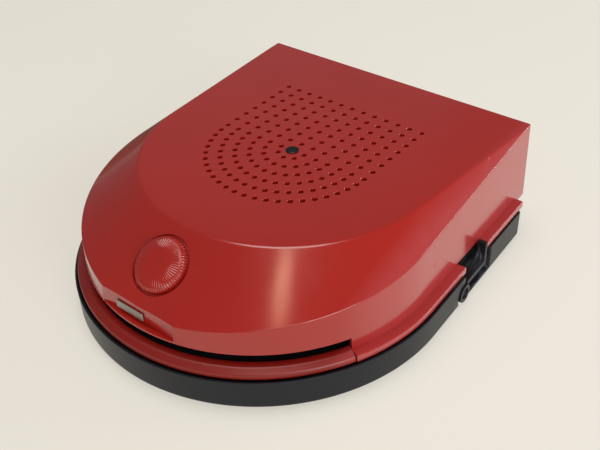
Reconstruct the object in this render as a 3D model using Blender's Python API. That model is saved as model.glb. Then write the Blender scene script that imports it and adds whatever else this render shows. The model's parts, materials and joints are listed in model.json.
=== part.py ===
"""Portable slot-loading player for 7-inch records, built from its separate pieces.

Metres, +Z up. The record slot faces -Y and the straight back faces +Y. The origin is the centre
of the footprint on the surface that the rubber feet stand on.
"""

import math

import bmesh
import bpy
from mathutils import Matrix, Vector

# Overall sizes
LENGTH = 0.2329
BASE_RADIUS = 0.1073
HEIGHT = 0.0669

# Clearances
TOUCH = 0.0003
RUNNING = 0.00006
SLIDING = 0.0006
SKIN = 0.0010

# Mesh steps: the sides of a circle, by its size, and the tolerances for joining points and for a hard edge
FINE = 40
ROUND = 24
SMALL = 16
PIN_SIDES = 12
WELD = 1e-6
HARD_EDGE = math.radians(30)

# Outline of the case: a round front and straight sides that close in towards the back
BASE_BACK_HALF = 0.1004
FLANGE_INSET = 0.0016
FLANGE_BACK_HALF = 0.0996
WALL_RADIUS = 0.1004
WALL_BACK_HALF = 0.0943
CREASE_RADIUS = 0.0990
CREASE_BACK_HALF = 0.0930
TOP_RADIUS = 0.0850
GRILLE_SETBACK = 0.0255
SIDE_STEPS = 5
ARC_STEPS = 36

# Heights, from the floor up
FOOT_HEIGHT = 0.0020
BASE_DEPTH = 0.0170
FLANGE_THICKNESS = 0.0042
LIP_RISE = 0.0012
LIP_FALL = 0.0022
LIP_INSET = 0.0004
LIP_CROWN = 0.0018
SLOT_HEIGHT = 0.0054
FRONT_WALL = 0.0084
WALL = 0.0025
FLOOR = 0.0025

# Plan places
SLOT_HALF = 0.0904
FLANGE_END = 0.0130
BASE_STEP = 0.0162
BASE_TAIL_HALF = 0.0895

# Loudspeaker grille
PITCH = 0.0080
GRILLE_HOLE = 0.0015
GRILLE_ROWS = 7
GRILLE_RINGS = 6
HOLE_SIDES = 4
RIVET_RADIUS = 0.0040
RIVET_STEM = 0.0019
RIVET_HEAD = 0.0009
RIVET_TAIL = 0.0030

# Volume knob
KNOB_RADIUS = 0.0148
KNOB_SETBACK = 0.0218
KNOB_CROWN = 0.0052
KNOB_EDGE = 0.0005
KNOB_SKIRT = 0.0076
KNOB_SOCKET = 0.0028
WELL_MARGIN = 0.0011
WELL_DEPTH = 0.0013
POT_HOLE = 0.0037
POT_NECK = 0.0033
POT_RADIUS = 0.0080
POT_DEPTH = 0.0085
POT_GAP = 0.0015
SHAFT_RADIUS = 0.0025
NUT_RADIUS = 0.0058
NUT_BORE = 0.0040
NUT_HEIGHT = 0.0014

# Nameplate
PLATE_HALF = 0.0240
PLATE_SETBACK = 0.0031
PLATE_LEDGE = 0.0013
BADGE_RISE = 0.0032
BADGE_HALF = 0.0095
BADGE_HEIGHT = 0.0046
BADGE_SHIFT = -0.0056
BADGE_THICKNESS = 0.0006

# Record and turntable
RECORD_RADIUS = 0.0875
RECORD_MARGIN = 0.0008
DECK_THICKNESS = 0.0020
DECK_HOLE = 0.0090
PLATTER_RADIUS = 0.0460
PLATTER_THICKNESS = 0.0010
MAT_THICKNESS = 0.0008
HUB_RADIUS = 0.0188
HUB_HEIGHT = 0.0021
SPINDLE_RADIUS = 0.0025
WHEEL_RADIUS = 0.0360
WHEEL_THICKNESS = 0.0028
CHASSIS_THICKNESS = 0.0012
CHASSIS_RISE = 0.0075
BUSH_RADIUS = 0.0055
BUSH_FLANGE = 0.0080
BUSH_COLLAR = 0.0012
BUSH_RISE = 0.0020
SPINDLE_RISE = 0.0012
WHEEL_GAP = 0.0014
PLATTER_HUB = 0.0070
HUB_SLOPE = 0.0030
HUB_EDGE = 0.0010
MAT_MARGIN = 0.0015
CHASSIS_HALF = 0.0780
CHASSIS_AHEAD = 0.0380
CHASSIS_BEHIND = 0.0800
CHASSIS_POST = 0.0030
CHASSIS_POST_INSET = 0.0060

# Motor and belt
MOTOR_RADIUS = 0.0150
MOTOR_HEIGHT = 0.0270
MOTOR_X = -0.0620
MOTOR_SETBACK = 0.0200
PULLEY_RADIUS = 0.0050
MOTOR_SHAFT = 0.0010
BELT = 0.0010
MOTOR_ROOM = 0.0060
MOTOR_EDGE = 0.0010
BRACKET_HALF = 0.0120
BRACKET_GAP = 0.0008
BRACKET_LEG = 0.0015
BRACKET_HOLE = 0.0030
WHEEL_BELT_STEPS = 24
PULLEY_BELT_STEPS = 8

# Speaker
SPEAKER_RADIUS = 0.0500
SPEAKER_DEPTH = 0.0210
MAGNET_RADIUS = 0.0210
MAGNET_DEPTH = 0.0070
CLOTH = 0.0005
CLOTH_HOLE = 0.0050
SPEAKER_STEEL = 0.0012
SPEAKER_NECK = 0.7
SPEAKER_RIM = 0.0045
SPEAKER_LEDGE = 0.0033
SPEAKER_FALL = 0.0075
SPEAKER_VENT = 0.0080
CONE_PAPER = 0.0008
CONE_MARGIN = 0.0056
CONE_FOLD = 0.0034
CONE_FLOOR = 0.0044

# Tonearm
ARM_LENGTH = 0.0920
ARM_X = 0.0780
ARM_FORWARD = 0.0712
ARM_LIFT = 0.0040
ARM_POST_RADIUS = 0.0060
ARM_STEM = 0.0020
ARM_PIN = 0.0008
ARM_TAIL = 0.0160
ARM_HALF = 0.0030
ARM_LOW = 0.0014
ARM_HIGH = 0.0016
YOKE_HALF = 0.0065
YOKE_LENGTH = 0.0045
YOKE_THICKNESS = 0.0014
YOKE_TOP = 0.0028
HEADSHELL = 0.0150
HEADSHELL_HALF = 0.0050
WEIGHT_HALF = 0.0042
WEIGHT_DEPTH = 0.0032
CARTRIDGE_HALF = 0.0038
CARTRIDGE_DEPTH = 0.0024
STYLUS_DEPTH = 0.0014
STYLUS_ROOT = 0.0007
STYLUS_SIDES = 8
ARM_HEIGHT = 0.0072
ARM_REST = math.radians(275.0)

# Record clamp
CLAMP_DISC = 0.0140
CLAMP_GAP = 0.0062
CLAMP_STRIP = 0.0012
CLAMP_POST = 0.0026
CLAMP_EAR = 0.0065
CLAMP_EAR_THICKNESS = 0.0020
CLAMP_ARM_HALF = 0.0050
CLAMP_EYE = 0.0020
CLAMP_PIN = 0.0009
CLAMP_STUD = 0.0015
CLAMP_STUD_RISE = 0.0004
CLAMP_PAD = 0.0030
CLAMP_SETBACK = 0.0046

# Ejector
EJECTOR_START = 0.0540
EJECTOR_HALF = 0.0200
EJECTOR_DEPTH = 0.0040
EJECTOR_LOW = 0.0006
EJECTOR_HIGH = 0.0075
EJECTOR_STEM = 0.0028
EJECTOR_FOOT = 0.0050

# Battery box
BOX_LEFT = -0.0300
BOX_RIGHT = 0.0760
BOX_DEPTH = 0.0330
BOX_WALL = 0.0015
BOX_DROP = 0.0040
CONTACT_HALF = 0.0090
CONTACT_RISE = 0.0200
CONTACT_THICKNESS = 0.0020
DOOR_SILL = 0.0015
SOCKET_X = -0.0370
SOCKET_RISE = 0.0095
SOCKET_HOLE = 0.0042
SOCKET_RADIUS = 0.0039
SOCKET_FLANGE = 0.0058
SOCKET_BORE = 0.0015
SOCKET_DEPTH = 0.0100
DOOR_MARGIN = 0.0080
DOOR_THICKNESS = 0.0020

# Eject lever
LEVER_Y = 0.0299
LEVER_ARM = 0.0256
LEVER_BOSS = 0.0054
LEVER_PIN = 0.0015
LEVER_RISE = 0.0056
LEVER_TOP = 0.0117
LEVER_WIDTH = 0.0050
LEVER_BAR = 0.0028
TAB_HEIGHT = 0.0124
TAB_THICKNESS = 0.0024
LEVER_INSET = 0.0002
LEVER_WEB = (0.0070, 0.0075, 0.0016)
LEVER_PIN_HEAD = 0.0027
LEVER_PIN_END = 0.0135
BOSS_DISH = 0.0030
CRANK_THICKNESS = 0.0018
CRANK_LENGTH = 0.0160
CRANK_HALF = 0.0016
CRANK_EYE = 0.0012
BAR_START = 0.62
NOTCH_START = 0.0022
NOTCH_DEPTH = 0.0300
POCKET_BLOCK = 0.0110
POCKET_END = 0.0045
CHANNEL_DEPTH = 0.0080
CHANNEL_MARGIN = 0.0016

# Amplifier board
BOARD_RISE = 0.0024
BOARD_THICKNESS = 0.0015
BOARD_HALF = 0.0560
BOARD_START = 0.0860
BOARD_END = 0.0420
BOARD_POST = 0.0025
BOARD_POST_INSET = 0.0050
DRIVER_X = -0.0380
OUTPUT_X = -0.0180
TRANSFORMER = (0.0075, 0.0060, 0.0085)
TRANSFORMER_COIL = (0.0045, 0.0085, 0.0015, 0.0070)
LEFT_TRANSISTOR_X = 0.0050
RIGHT_TRANSISTOR_X = 0.0160
TRANSISTOR = (0.0030, 0.0040, 0.0062, 0.0007)
CAPACITOR_X = 0.0330
CAPACITOR = (0.0045, 0.0100, 0.0006)

# Fasteners and small parts
SCREW_RADIUS = 0.0011
SCREW_HEAD = 0.0032
POST_RADIUS = 0.0048
FRONT_SCREW = (0.0934, 0.0080)
REAR_SCREW = (0.0835, 0.0900)
SCREW_RISE = 0.0020
SCREW_HEAD_HEIGHT = 0.0016
SCREW_TIP = 0.0015
FRONT_SCREW_REACH = 0.0085
REAR_SCREW_REACH = 0.0060
PILOT_DEPTH = 0.0100
FOOT_RADIUS = 0.0060
FOOT_EDGE = 0.0004
FRONT_FOOT = (0.0660, 0.0560)
REAR_FOOT = (0.0740, 0.0480)

# Worked-out levels and places
FRONT_Y = -LENGTH / 2
BACK_Y = LENGTH / 2
ARC_Y = FRONT_Y + BASE_RADIUS
GRILLE_Y = ARC_Y + GRILLE_SETBACK
BASE_BOTTOM = FOOT_HEIGHT
BASE_TOP = BASE_BOTTOM + BASE_DEPTH
FLANGE_BOTTOM = BASE_TOP + TOUCH
FLANGE_TOP = FLANGE_BOTTOM + FLANGE_THICKNESS
FLANGE_RADIUS = BASE_RADIUS - FLANGE_INSET
LIP_TOP = FLANGE_TOP + LIP_RISE
SLOT_TOP = LIP_TOP + SLOT_HEIGHT
CREASE_FRONT = SLOT_TOP + FRONT_WALL
INSIDE_TOP = HEIGHT - WALL
FLOOR_TOP = BASE_BOTTOM + FLOOR
DECK_TOP = FLANGE_BOTTOM + DECK_THICKNESS
DECK_END = ARC_Y + RECORD_RADIUS + RECORD_MARGIN
CHASSIS_BOTTOM = FLOOR_TOP + CHASSIS_RISE
CHASSIS_TOP = CHASSIS_BOTTOM + CHASSIS_THICKNESS
CHASSIS_FRONT = ARC_Y - CHASSIS_AHEAD
CHASSIS_BACK = ARC_Y + CHASSIS_BEHIND
BOARD_BOTTOM = FLOOR_TOP + BOARD_RISE
BOARD_FRONT = ARC_Y - BOARD_START
BOARD_BACK = ARC_Y - BOARD_END
SCREW_SEAT = FLOOR_TOP + SCREW_RISE
MOTOR_Y = BACK_Y - MOTOR_SETBACK
PLATE_Y = ARC_Y - CREASE_RADIUS + PLATE_SETBACK
SOCKET_Z = BASE_BOTTOM + SOCKET_RISE


# ---------------------------------------------------------------- shapes


def outline(radius, back_half, centre_y=None, end_y=None):
    """Plan points of a horseshoe, from its right back corner round the front to its left one.

    The straight sides run from (+-back_half, BACK_Y) and touch the front circle. end_y stops them short.
    """
    centre_y = ARC_Y if centre_y is None else centre_y
    reach = math.hypot(back_half, BACK_Y - centre_y)
    touch = math.atan2(BACK_Y - centre_y, back_half) - math.acos(radius / reach)
    tangent = (radius * math.cos(touch), centre_y + radius * math.sin(touch))
    corner = (back_half, BACK_Y)
    if end_y is not None:
        share = (end_y - tangent[1]) / (corner[1] - tangent[1])
        corner = (tangent[0] + share * (corner[0] - tangent[0]), end_y)
    side = [
        (corner[0] + (tangent[0] - corner[0]) * i / SIDE_STEPS, corner[1] + (tangent[1] - corner[1]) * i / SIDE_STEPS)
        for i in range(SIDE_STEPS)
    ]
    sweep = math.pi + 2 * touch
    arc = []
    for i in range(ARC_STEPS + 1):
        angle = touch - sweep * i / ARC_STEPS
        arc.append((radius * math.cos(angle), centre_y + radius * math.sin(angle)))
    return side + arc + [(-x, y) for x, y in reversed(side)]


def side_half(radius, back_half, y):
    """Half the width of a horseshoe's straight part at y."""
    return outline(radius, back_half, end_y=y)[0][0]


def crease_heights(points, top, front):
    """Heights along the crease: it falls evenly with the distance from the back corner."""
    runs = [0.0]
    for a, b in zip(points, points[1:]):
        runs.append(runs[-1] + math.dist(a, b))
    half = runs[-1] / 2
    return [top - (top - front) * min(run, runs[-1] - run) / half for run in runs]


def loft(rings):
    """A closed solid through rings of equally many points, with flat ends."""
    mesh = bmesh.new()
    loops = [[mesh.verts.new(point) for point in ring] for ring in rings]
    count = len(loops[0])
    for low, high in zip(loops, loops[1:]):
        for i in range(count):
            j = (i + 1) % count
            mesh.faces.new((low[i], low[j], high[j], high[i]))
    mesh.faces.new(loops[0])
    mesh.faces.new(list(reversed(loops[-1])))
    bmesh.ops.remove_doubles(mesh, verts=mesh.verts, dist=WELD)
    bmesh.ops.triangulate(mesh, faces=[face for face in mesh.faces if len(face.verts) == 4])
    bmesh.ops.recalc_face_normals(mesh, faces=mesh.faces)
    return mesh


def prism(points, bottom, top):
    """An upright solid on a plan outline."""
    return loft([[(x, y, top) for x, y in points], [(x, y, bottom) for x, y in points]])


def box(low, high):
    corners = [(low[0], low[1]), (high[0], low[1]), (high[0], high[1]), (low[0], high[1])]
    return prism(corners, low[2], high[2])


def turned(profile, steps=ROUND):
    """A solid of revolution about Z. The profile of (radius, height) is a closed loop, or starts and ends at radius 0."""
    mesh = bmesh.new()
    rings = []
    for radius, height in profile:
        if radius == 0:
            rings.append([mesh.verts.new((0, 0, height))])
            continue
        angles = (2 * math.pi * i / steps for i in range(steps))
        rings.append([mesh.verts.new((radius * math.cos(a), radius * math.sin(a), height)) for a in angles])
    pairs = list(zip(rings, rings[1:]))
    if len(rings[0]) > 1:
        pairs.append((rings[-1], rings[0]))
    for first, second in pairs:
        if len(first) == 1 and len(second) == 1:
            continue
        for i in range(steps):
            j = (i + 1) % steps
            corners = []
            for vertex in (
                first[i % len(first)],
                first[j % len(first)],
                second[j % len(second)],
                second[i % len(second)],
            ):
                if vertex not in corners:
                    corners.append(vertex)
            mesh.faces.new(corners)
    bmesh.ops.recalc_face_normals(mesh, faces=mesh.faces)
    return mesh


def cylinder(radius, bottom, top, steps=ROUND):
    return turned([(0, top), (radius, top), (radius, bottom), (0, bottom)], steps)


def tube(outer, inner, bottom, top, steps=ROUND):
    return turned([(inner, top), (outer, top), (outer, bottom), (inner, bottom)], steps)


def moved(mesh, matrix):
    bmesh.ops.transform(mesh, matrix=matrix, verts=mesh.verts)
    return mesh


def at(mesh, x, y, z=0.0):
    return moved(mesh, Matrix.Translation((x, y, z)))


def turned_to(mesh, axis):
    """Turns a solid built along Z so that it lies along another axis."""
    return moved(mesh, Vector((0, 0, 1)).rotation_difference(Vector(axis)).to_matrix().to_4x4())


# ---------------------------------------------------------------- objects

MATERIALS = {
    "red_gloss": ((0.42, 0.022, 0.014), 0.18, 0.0),
    "black_plastic": ((0.012, 0.012, 0.015), 0.38, 0.0),
    "black_rubber": ((0.015, 0.015, 0.015), 0.8, 0.0),
    "grey_plastic": ((0.33, 0.33, 0.32), 0.45, 0.0),
    "ivory_plastic": ((0.62, 0.58, 0.46), 0.4, 0.0),
    "zinc_steel": ((0.56, 0.56, 0.55), 0.35, 1.0),
    "brass": ((0.72, 0.52, 0.22), 0.3, 1.0),
    "aluminium": ((0.66, 0.66, 0.65), 0.32, 1.0),
    "ferrite": ((0.05, 0.05, 0.055), 0.6, 0.2),
    "paper_cone": ((0.03, 0.028, 0.026), 0.9, 0.0),
    "cloth": ((0.01, 0.01, 0.01), 0.95, 0.0),
    "circuit_board": ((0.28, 0.17, 0.06), 0.55, 0.0),
}


def material(name):
    found = bpy.data.materials.get(name)
    if found:
        return found
    colour, roughness, metallic = MATERIALS[name]
    made = bpy.data.materials.new(name)
    made.use_nodes = True
    shader = made.node_tree.nodes["Principled BSDF"]
    shader.inputs["Base Color"].default_value = (*colour, 1.0)
    shader.inputs["Roughness"].default_value = roughness
    shader.inputs["Metallic"].default_value = metallic
    return made


def piece(name, mesh, finish=None, pivot=None):
    """A named object from a bmesh, with its finish, hung on a pivot when it moves."""
    data = bpy.data.meshes.new(name)
    mesh.to_mesh(data)
    mesh.free()
    made = bpy.data.objects.new(name, data)
    bpy.context.scene.collection.objects.link(made)
    if finish:
        data.materials.append(material(finish))
        data.shade_smooth()
        data.set_sharp_from_angle(angle=HARD_EDGE)
    if pivot:
        made.parent = pivot
    return made


def pivot(name, place, turn=None):
    """An empty on a joint's axis, which carries the pieces that move."""
    made = bpy.data.objects.new(name, None)
    made.empty_display_size = LEVER_PIN
    made.matrix_world = Matrix.Translation(place) @ (turn or Matrix.Identity(4))
    bpy.context.scene.collection.objects.link(made)
    return made


def flatten_faces(data):
    """Leaves only triangles, which the next cut can't find bent."""
    mesh = bmesh.new()
    mesh.from_mesh(data)
    bmesh.ops.remove_doubles(mesh, verts=mesh.verts, dist=WELD)
    bmesh.ops.triangulate(mesh, faces=mesh.faces)
    mesh.to_mesh(data)
    mesh.free()


def combine(target, *tools, operation="DIFFERENCE"):
    """Cuts the tools out of the target, or joins them to it, and leaves one plain mesh."""
    for tool in tools:
        helper = piece("tool", tool)
        step = target.modifiers.new("step", "BOOLEAN")
        step.operation = operation
        step.solver = "EXACT"
        step.object = helper
        bpy.context.view_layer.update()
        evaluated = target.evaluated_get(bpy.context.evaluated_depsgraph_get())
        result = bpy.data.meshes.new_from_object(evaluated)
        flatten_faces(result)
        target.modifiers.remove(step)
        old = target.data
        target.data = result
        bpy.data.meshes.remove(old)
        bpy.data.objects.remove(helper)
    target.data.shade_smooth()
    target.data.set_sharp_from_angle(angle=HARD_EDGE)
    return target


def taken(helper):
    """The mesh of a helper object, which is removed."""
    mesh = bmesh.new()
    mesh.from_mesh(helper.data)
    bpy.data.objects.remove(helper)
    return mesh


# ---------------------------------------------------------------- case


def case_volume(inset, top, bottom, lowered):
    """The cover's body: a flat horseshoe top, a facet that widens to the front, and a near upright wall."""
    crease = outline(CREASE_RADIUS - inset, CREASE_BACK_HALF - inset)
    heights = crease_heights(crease, top, CREASE_FRONT - lowered)
    flat = outline(TOP_RADIUS - inset, CREASE_BACK_HALF - inset, centre_y=GRILLE_Y)
    foot = outline(WALL_RADIUS - inset, WALL_BACK_HALF - inset)
    back = BACK_Y - inset
    rings = [
        [(x, min(y, back), top) for x, y in flat],
        [(x, min(y, back), z) for (x, y), z in zip(crease, heights)],
        [(x, min(y, back), bottom) for x, y in foot],
    ]
    return loft(rings)


def crease_level(y):
    """Height of the crease beside a place on the round front."""
    points = outline(CREASE_RADIUS, CREASE_BACK_HALF)
    heights = crease_heights(points, HEIGHT, CREASE_FRONT)
    return min(zip(points, heights), key=lambda pair: abs(pair[0][1] - y))[1]


def slope_frame():
    """The slope's plane at the front centre line: the knob's place, and its axis square to the slope."""
    ridge = Vector((0, GRILLE_Y - TOP_RADIUS, HEIGHT))
    crease = Vector((0, ARC_Y - CREASE_RADIUS, CREASE_FRONT))
    along = (crease - ridge).normalized()
    axis = Vector((1, 0, 0)).cross(along)
    axis = axis if axis.z > 0 else -axis
    return ridge + along * KNOB_SETBACK, axis


def grille_places():
    """Rows behind the rivet and half rings in front of it, one pitch apart."""
    places = []
    for row in range(1, GRILLE_ROWS + 1):
        for column in range(-GRILLE_RINGS, GRILLE_RINGS + 1):
            places.append((column * PITCH, GRILLE_Y + row * PITCH))
    for ring in range(1, GRILLE_RINGS + 1):
        for i in range(4 * ring + 1):
            angle = -math.pi * i / (4 * ring)
            places.append((ring * PITCH * math.cos(angle), GRILLE_Y + ring * PITCH * math.sin(angle)))
    return places


def hole_field(places, radius, bottom, top):
    """Many separate upright cutters in one mesh."""
    field = bmesh.new()
    for x, y in places:
        top_ring, low_ring = (
            [
                field.verts.new(
                    (
                        x + radius * math.cos(2 * math.pi * i / HOLE_SIDES),
                        y + radius * math.sin(2 * math.pi * i / HOLE_SIDES),
                        z,
                    )
                )
                for i in range(HOLE_SIDES)
            ]
            for z in (top, bottom)
        )
        field.faces.new(top_ring)
        field.faces.new(list(reversed(low_ring)))
        for i in range(HOLE_SIDES):
            j = (i + 1) % HOLE_SIDES
            field.faces.new((top_ring[i], low_ring[i], low_ring[j], top_ring[j]))
    bmesh.ops.recalc_face_normals(field, faces=field.faces)
    return field


def mirrored_x(place):
    return [place, (-place[0], place[1])]


def door_opening():
    """Low and high corners of the opening in the back wall, as (x, z)."""
    low = (BOX_LEFT + DOOR_MARGIN, FLANGE_TOP + DOOR_SILL)
    high = (BOX_RIGHT - DOOR_MARGIN, INSIDE_TOP - DOOR_MARGIN)
    return low, high


def lever_frame():
    """Where the lever's axis leaves the base, and the turn that lays +X square to the tapered side."""
    half = side_half(BASE_RADIUS, BASE_BACK_HALF, LEVER_Y)
    ahead = side_half(BASE_RADIUS, BASE_BACK_HALF, LEVER_Y + LEVER_ARM)
    turn = math.atan2(half - ahead, LEVER_ARM)
    return Vector((half, LEVER_Y, BASE_BOTTOM + LEVER_RISE)), Matrix.Rotation(turn, 4, "Z")


def build_cover():
    body = piece("top_cover", case_volume(0.0, HEIGHT, FLANGE_BOTTOM, 0.0), "red_gloss")
    flange = outline(FLANGE_RADIUS, FLANGE_BACK_HALF, end_y=BACK_Y - FLANGE_END)
    combine(body, prism(flange, FLANGE_BOTTOM, FLANGE_TOP), operation="UNION")
    combine(body, case_volume(WALL, INSIDE_TOP, FLANGE_BOTTOM - WALL, WALL))

    front_top = crease_level(FRONT_SCREW[1])
    for place, foot, top in (
        (FRONT_SCREW, DECK_TOP + TOUCH, front_top),
        (REAR_SCREW, FLANGE_BOTTOM, INSIDE_TOP + WALL / 2),
    ):
        for x, y in mirrored_x(place):
            combine(body, at(cylinder(SCREW_HEAD, foot, top, PIN_SIDES), x, y), operation="UNION")

    place, axis = slope_frame()
    well = turned_to(cylinder(KNOB_RADIUS + WELL_MARGIN, -WELL_DEPTH, KNOB_RADIUS, FINE), axis)
    hole = turned_to(cylinder(POT_HOLE, -KNOB_RADIUS, KNOB_RADIUS), axis)
    combine(body, at(well, *place), at(hole, *place))

    backing = piece("backing", case_volume(WALL / 3, HEIGHT - WALL / 3, FLANGE_BOTTOM, WALL / 3))
    combine(
        backing,
        box((-PLATE_HALF - WALL, PLATE_Y - WALL / 2, SLOT_TOP), (PLATE_HALF + WALL, PLATE_Y + WALL, CREASE_FRONT)),
        operation="INTERSECT",
    )
    combine(body, taken(backing), operation="UNION")
    combine(body, box((-PLATE_HALF - 2 * WALL, FRONT_Y, SLOT_TOP + PLATE_LEDGE), (PLATE_HALF, PLATE_Y, HEIGHT)))

    combine(body, hole_field(grille_places(), GRILLE_HOLE, INSIDE_TOP - WALL, HEIGHT + WALL))
    combine(body, at(cylinder(RIVET_STEM + TOUCH, INSIDE_TOP - WALL, HEIGHT + WALL, PIN_SIDES), 0, GRILLE_Y))

    slot = box((-SLOT_HALF, FRONT_Y - WALL, FLANGE_BOTTOM - WALL), (SLOT_HALF, ARC_Y, SLOT_TOP))
    combine(body, slot)

    low, high = door_opening()
    combine(body, box((low[0], BACK_Y - 2 * WALL, low[1]), (high[0], BACK_Y + WALL, high[1])))

    for place, foot in ((FRONT_SCREW, DECK_TOP), (REAR_SCREW, FLANGE_BOTTOM)):
        for x, y in mirrored_x(place):
            pilot = at(cylinder(SCREW_RADIUS + TOUCH, foot - WALL, foot + PILOT_DEPTH, PIN_SIDES), x, y)
            combine(body, pilot)

    corner, turn = lever_frame()
    notch = box(
        (-NOTCH_DEPTH, NOTCH_START, FLANGE_BOTTOM - corner.z - WALL),
        (2 * LEVER_WIDTH, LEVER_ARM + TAB_THICKNESS, FLANGE_TOP - corner.z),
    )
    combine(body, moved(notch, Matrix.Translation(corner) @ turn))


def build_base():
    end = BACK_Y - BASE_STEP
    main = outline(BASE_RADIUS, BASE_BACK_HALF, end_y=end)
    body = piece("base_shell", prism(main, BASE_BOTTOM, BASE_TOP), "black_plastic")
    tail_y = BACK_Y - TOUCH
    combine(
        body,
        box((-BASE_TAIL_HALF, 0, BASE_BOTTOM), (BASE_TAIL_HALF, tail_y, BASE_TOP)),
        operation="UNION",
    )
    inner = outline(BASE_RADIUS - WALL, BASE_BACK_HALF - WALL, end_y=end - WALL)
    combine(body, prism(inner, FLOOR_TOP, BASE_TOP + WALL))
    tail_half = BASE_TAIL_HALF - WALL
    combine(body, box((-tail_half, 0, FLOOR_TOP), (tail_half, tail_y - WALL, BASE_TOP + WALL)))

    for place in (FRONT_SCREW, REAR_SCREW):
        for x, y in mirrored_x(place):
            combine(body, at(cylinder(POST_RADIUS, BASE_BOTTOM, BASE_TOP, SMALL), x, y), operation="UNION")
    for x, y in chassis_posts():
        support = cylinder(CHASSIS_POST, BASE_BOTTOM, CHASSIS_BOTTOM - TOUCH, PIN_SIDES)
        combine(body, at(support, x, y), operation="UNION")
    for x, y in board_posts():
        combine(body, at(cylinder(BOARD_POST, BASE_BOTTOM, BOARD_BOTTOM - TOUCH, PIN_SIDES), x, y), operation="UNION")

    # A pocket in the right side holds the lever: thicken the wall there, then sink the pocket into it.
    corner, turn = lever_frame()
    stand = Matrix.Translation(corner) @ turn
    low = BASE_BOTTOM - corner.z
    high = BASE_TOP - corner.z
    reach = LEVER_ARM + TAB_THICKNESS
    thick = box((-POCKET_BLOCK, SKIN - POCKET_BLOCK, low + SKIN), (-SKIN, reach + POCKET_END, high - TOUCH))
    moved(thick, stand)
    combine(body, thick, operation="UNION")
    channel = moved(box((-CHANNEL_DEPTH, 0.0, -CHANNEL_MARGIN), (WALL, reach + CHANNEL_MARGIN, high + WALL)), stand)
    pocket = cylinder(LEVER_BOSS + CHANNEL_MARGIN + TOUCH, -CHANNEL_DEPTH - SKIN / 2, WALL)
    moved(turned_to(pocket, (1, 0, 0)), stand)
    axle = moved(turned_to(cylinder(LEVER_PIN + RUNNING, -2 * POCKET_BLOCK, WALL, SMALL), (1, 0, 0)), stand)
    combine(body, channel, pocket, axle)

    for place in (FRONT_SCREW, REAR_SCREW):
        for x, y in mirrored_x(place):
            head = at(cylinder(SCREW_HEAD + TOUCH, BASE_BOTTOM - WALL, SCREW_SEAT, SMALL), x, y)
            shank = at(cylinder(SCREW_RADIUS + TOUCH, BASE_BOTTOM - WALL, BASE_TOP + WALL, PIN_SIDES), x, y)
            combine(body, head, shank)
    socket = at(turned_to(cylinder(SOCKET_HOLE, -2 * WALL, 2 * WALL), (0, 1, 0)), SOCKET_X, tail_y, SOCKET_Z)
    combine(body, socket)


def build_lip():
    """The red front lip under the slot, with a top that falls away to the outside."""
    half = SLOT_HALF - SLIDING
    outer = outline(FLANGE_RADIUS - LIP_INSET, FLANGE_BACK_HALF)
    crown = outline(WALL_RADIUS + LIP_CROWN, WALL_BACK_HALF)
    rings = [
        [(x, y, LIP_TOP) for x, y in crown],
        [(x, y, LIP_TOP - LIP_FALL) for x, y in outer],
        [(x, y, FLANGE_BOTTOM) for x, y in outer],
    ]
    lip = piece("front_lip", loft(rings), "red_gloss")
    inner = outline(WALL_RADIUS - WALL, WALL_BACK_HALF - WALL)
    combine(lip, prism(inner, BASE_BOTTOM, HEIGHT))
    back_y = ARC_Y - math.sqrt((WALL_RADIUS - WALL) ** 2 - half**2)
    combine(lip, box((-LENGTH, back_y, BASE_BOTTOM), (LENGTH, LENGTH, HEIGHT)))
    for sign in (-1, 1):
        ends = sorted((sign * half, sign * LENGTH))
        combine(lip, box((ends[0], -LENGTH, 0), (ends[1], LENGTH, HEIGHT)))


def build_deck():
    """The black plate under the record, closed by the base below it and the cover round it."""
    edge = WALL + SLIDING
    plate = outline(WALL_RADIUS - edge, WALL_BACK_HALF - edge - SKIN, end_y=DECK_END)
    deck = piece("deck_plate", prism(plate, FLANGE_BOTTOM, DECK_TOP), "black_plastic")
    bottom, top = FLANGE_BOTTOM - WALL, DECK_TOP + WALL
    rail = EJECTOR_STEM + SLIDING
    combine(deck, at(cylinder(DECK_HOLE, bottom, top), 0, ARC_Y))
    combine(deck, box((-rail, ARC_Y + EJECTOR_START - rail, bottom), (rail, DECK_END + WALL, top)))
    for x, y in mirrored_x(FRONT_SCREW):
        combine(deck, at(cylinder(SCREW_RADIUS + TOUCH, bottom, top, PIN_SIDES), x, y))
    room = MOTOR_RADIUS + MOTOR_ROOM
    combine(deck, box((MOTOR_X - room, MOTOR_Y - room, bottom), (MOTOR_X + room, DECK_END + WALL, top)))


# ---------------------------------------------------------------- loudspeaker and trim


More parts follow.
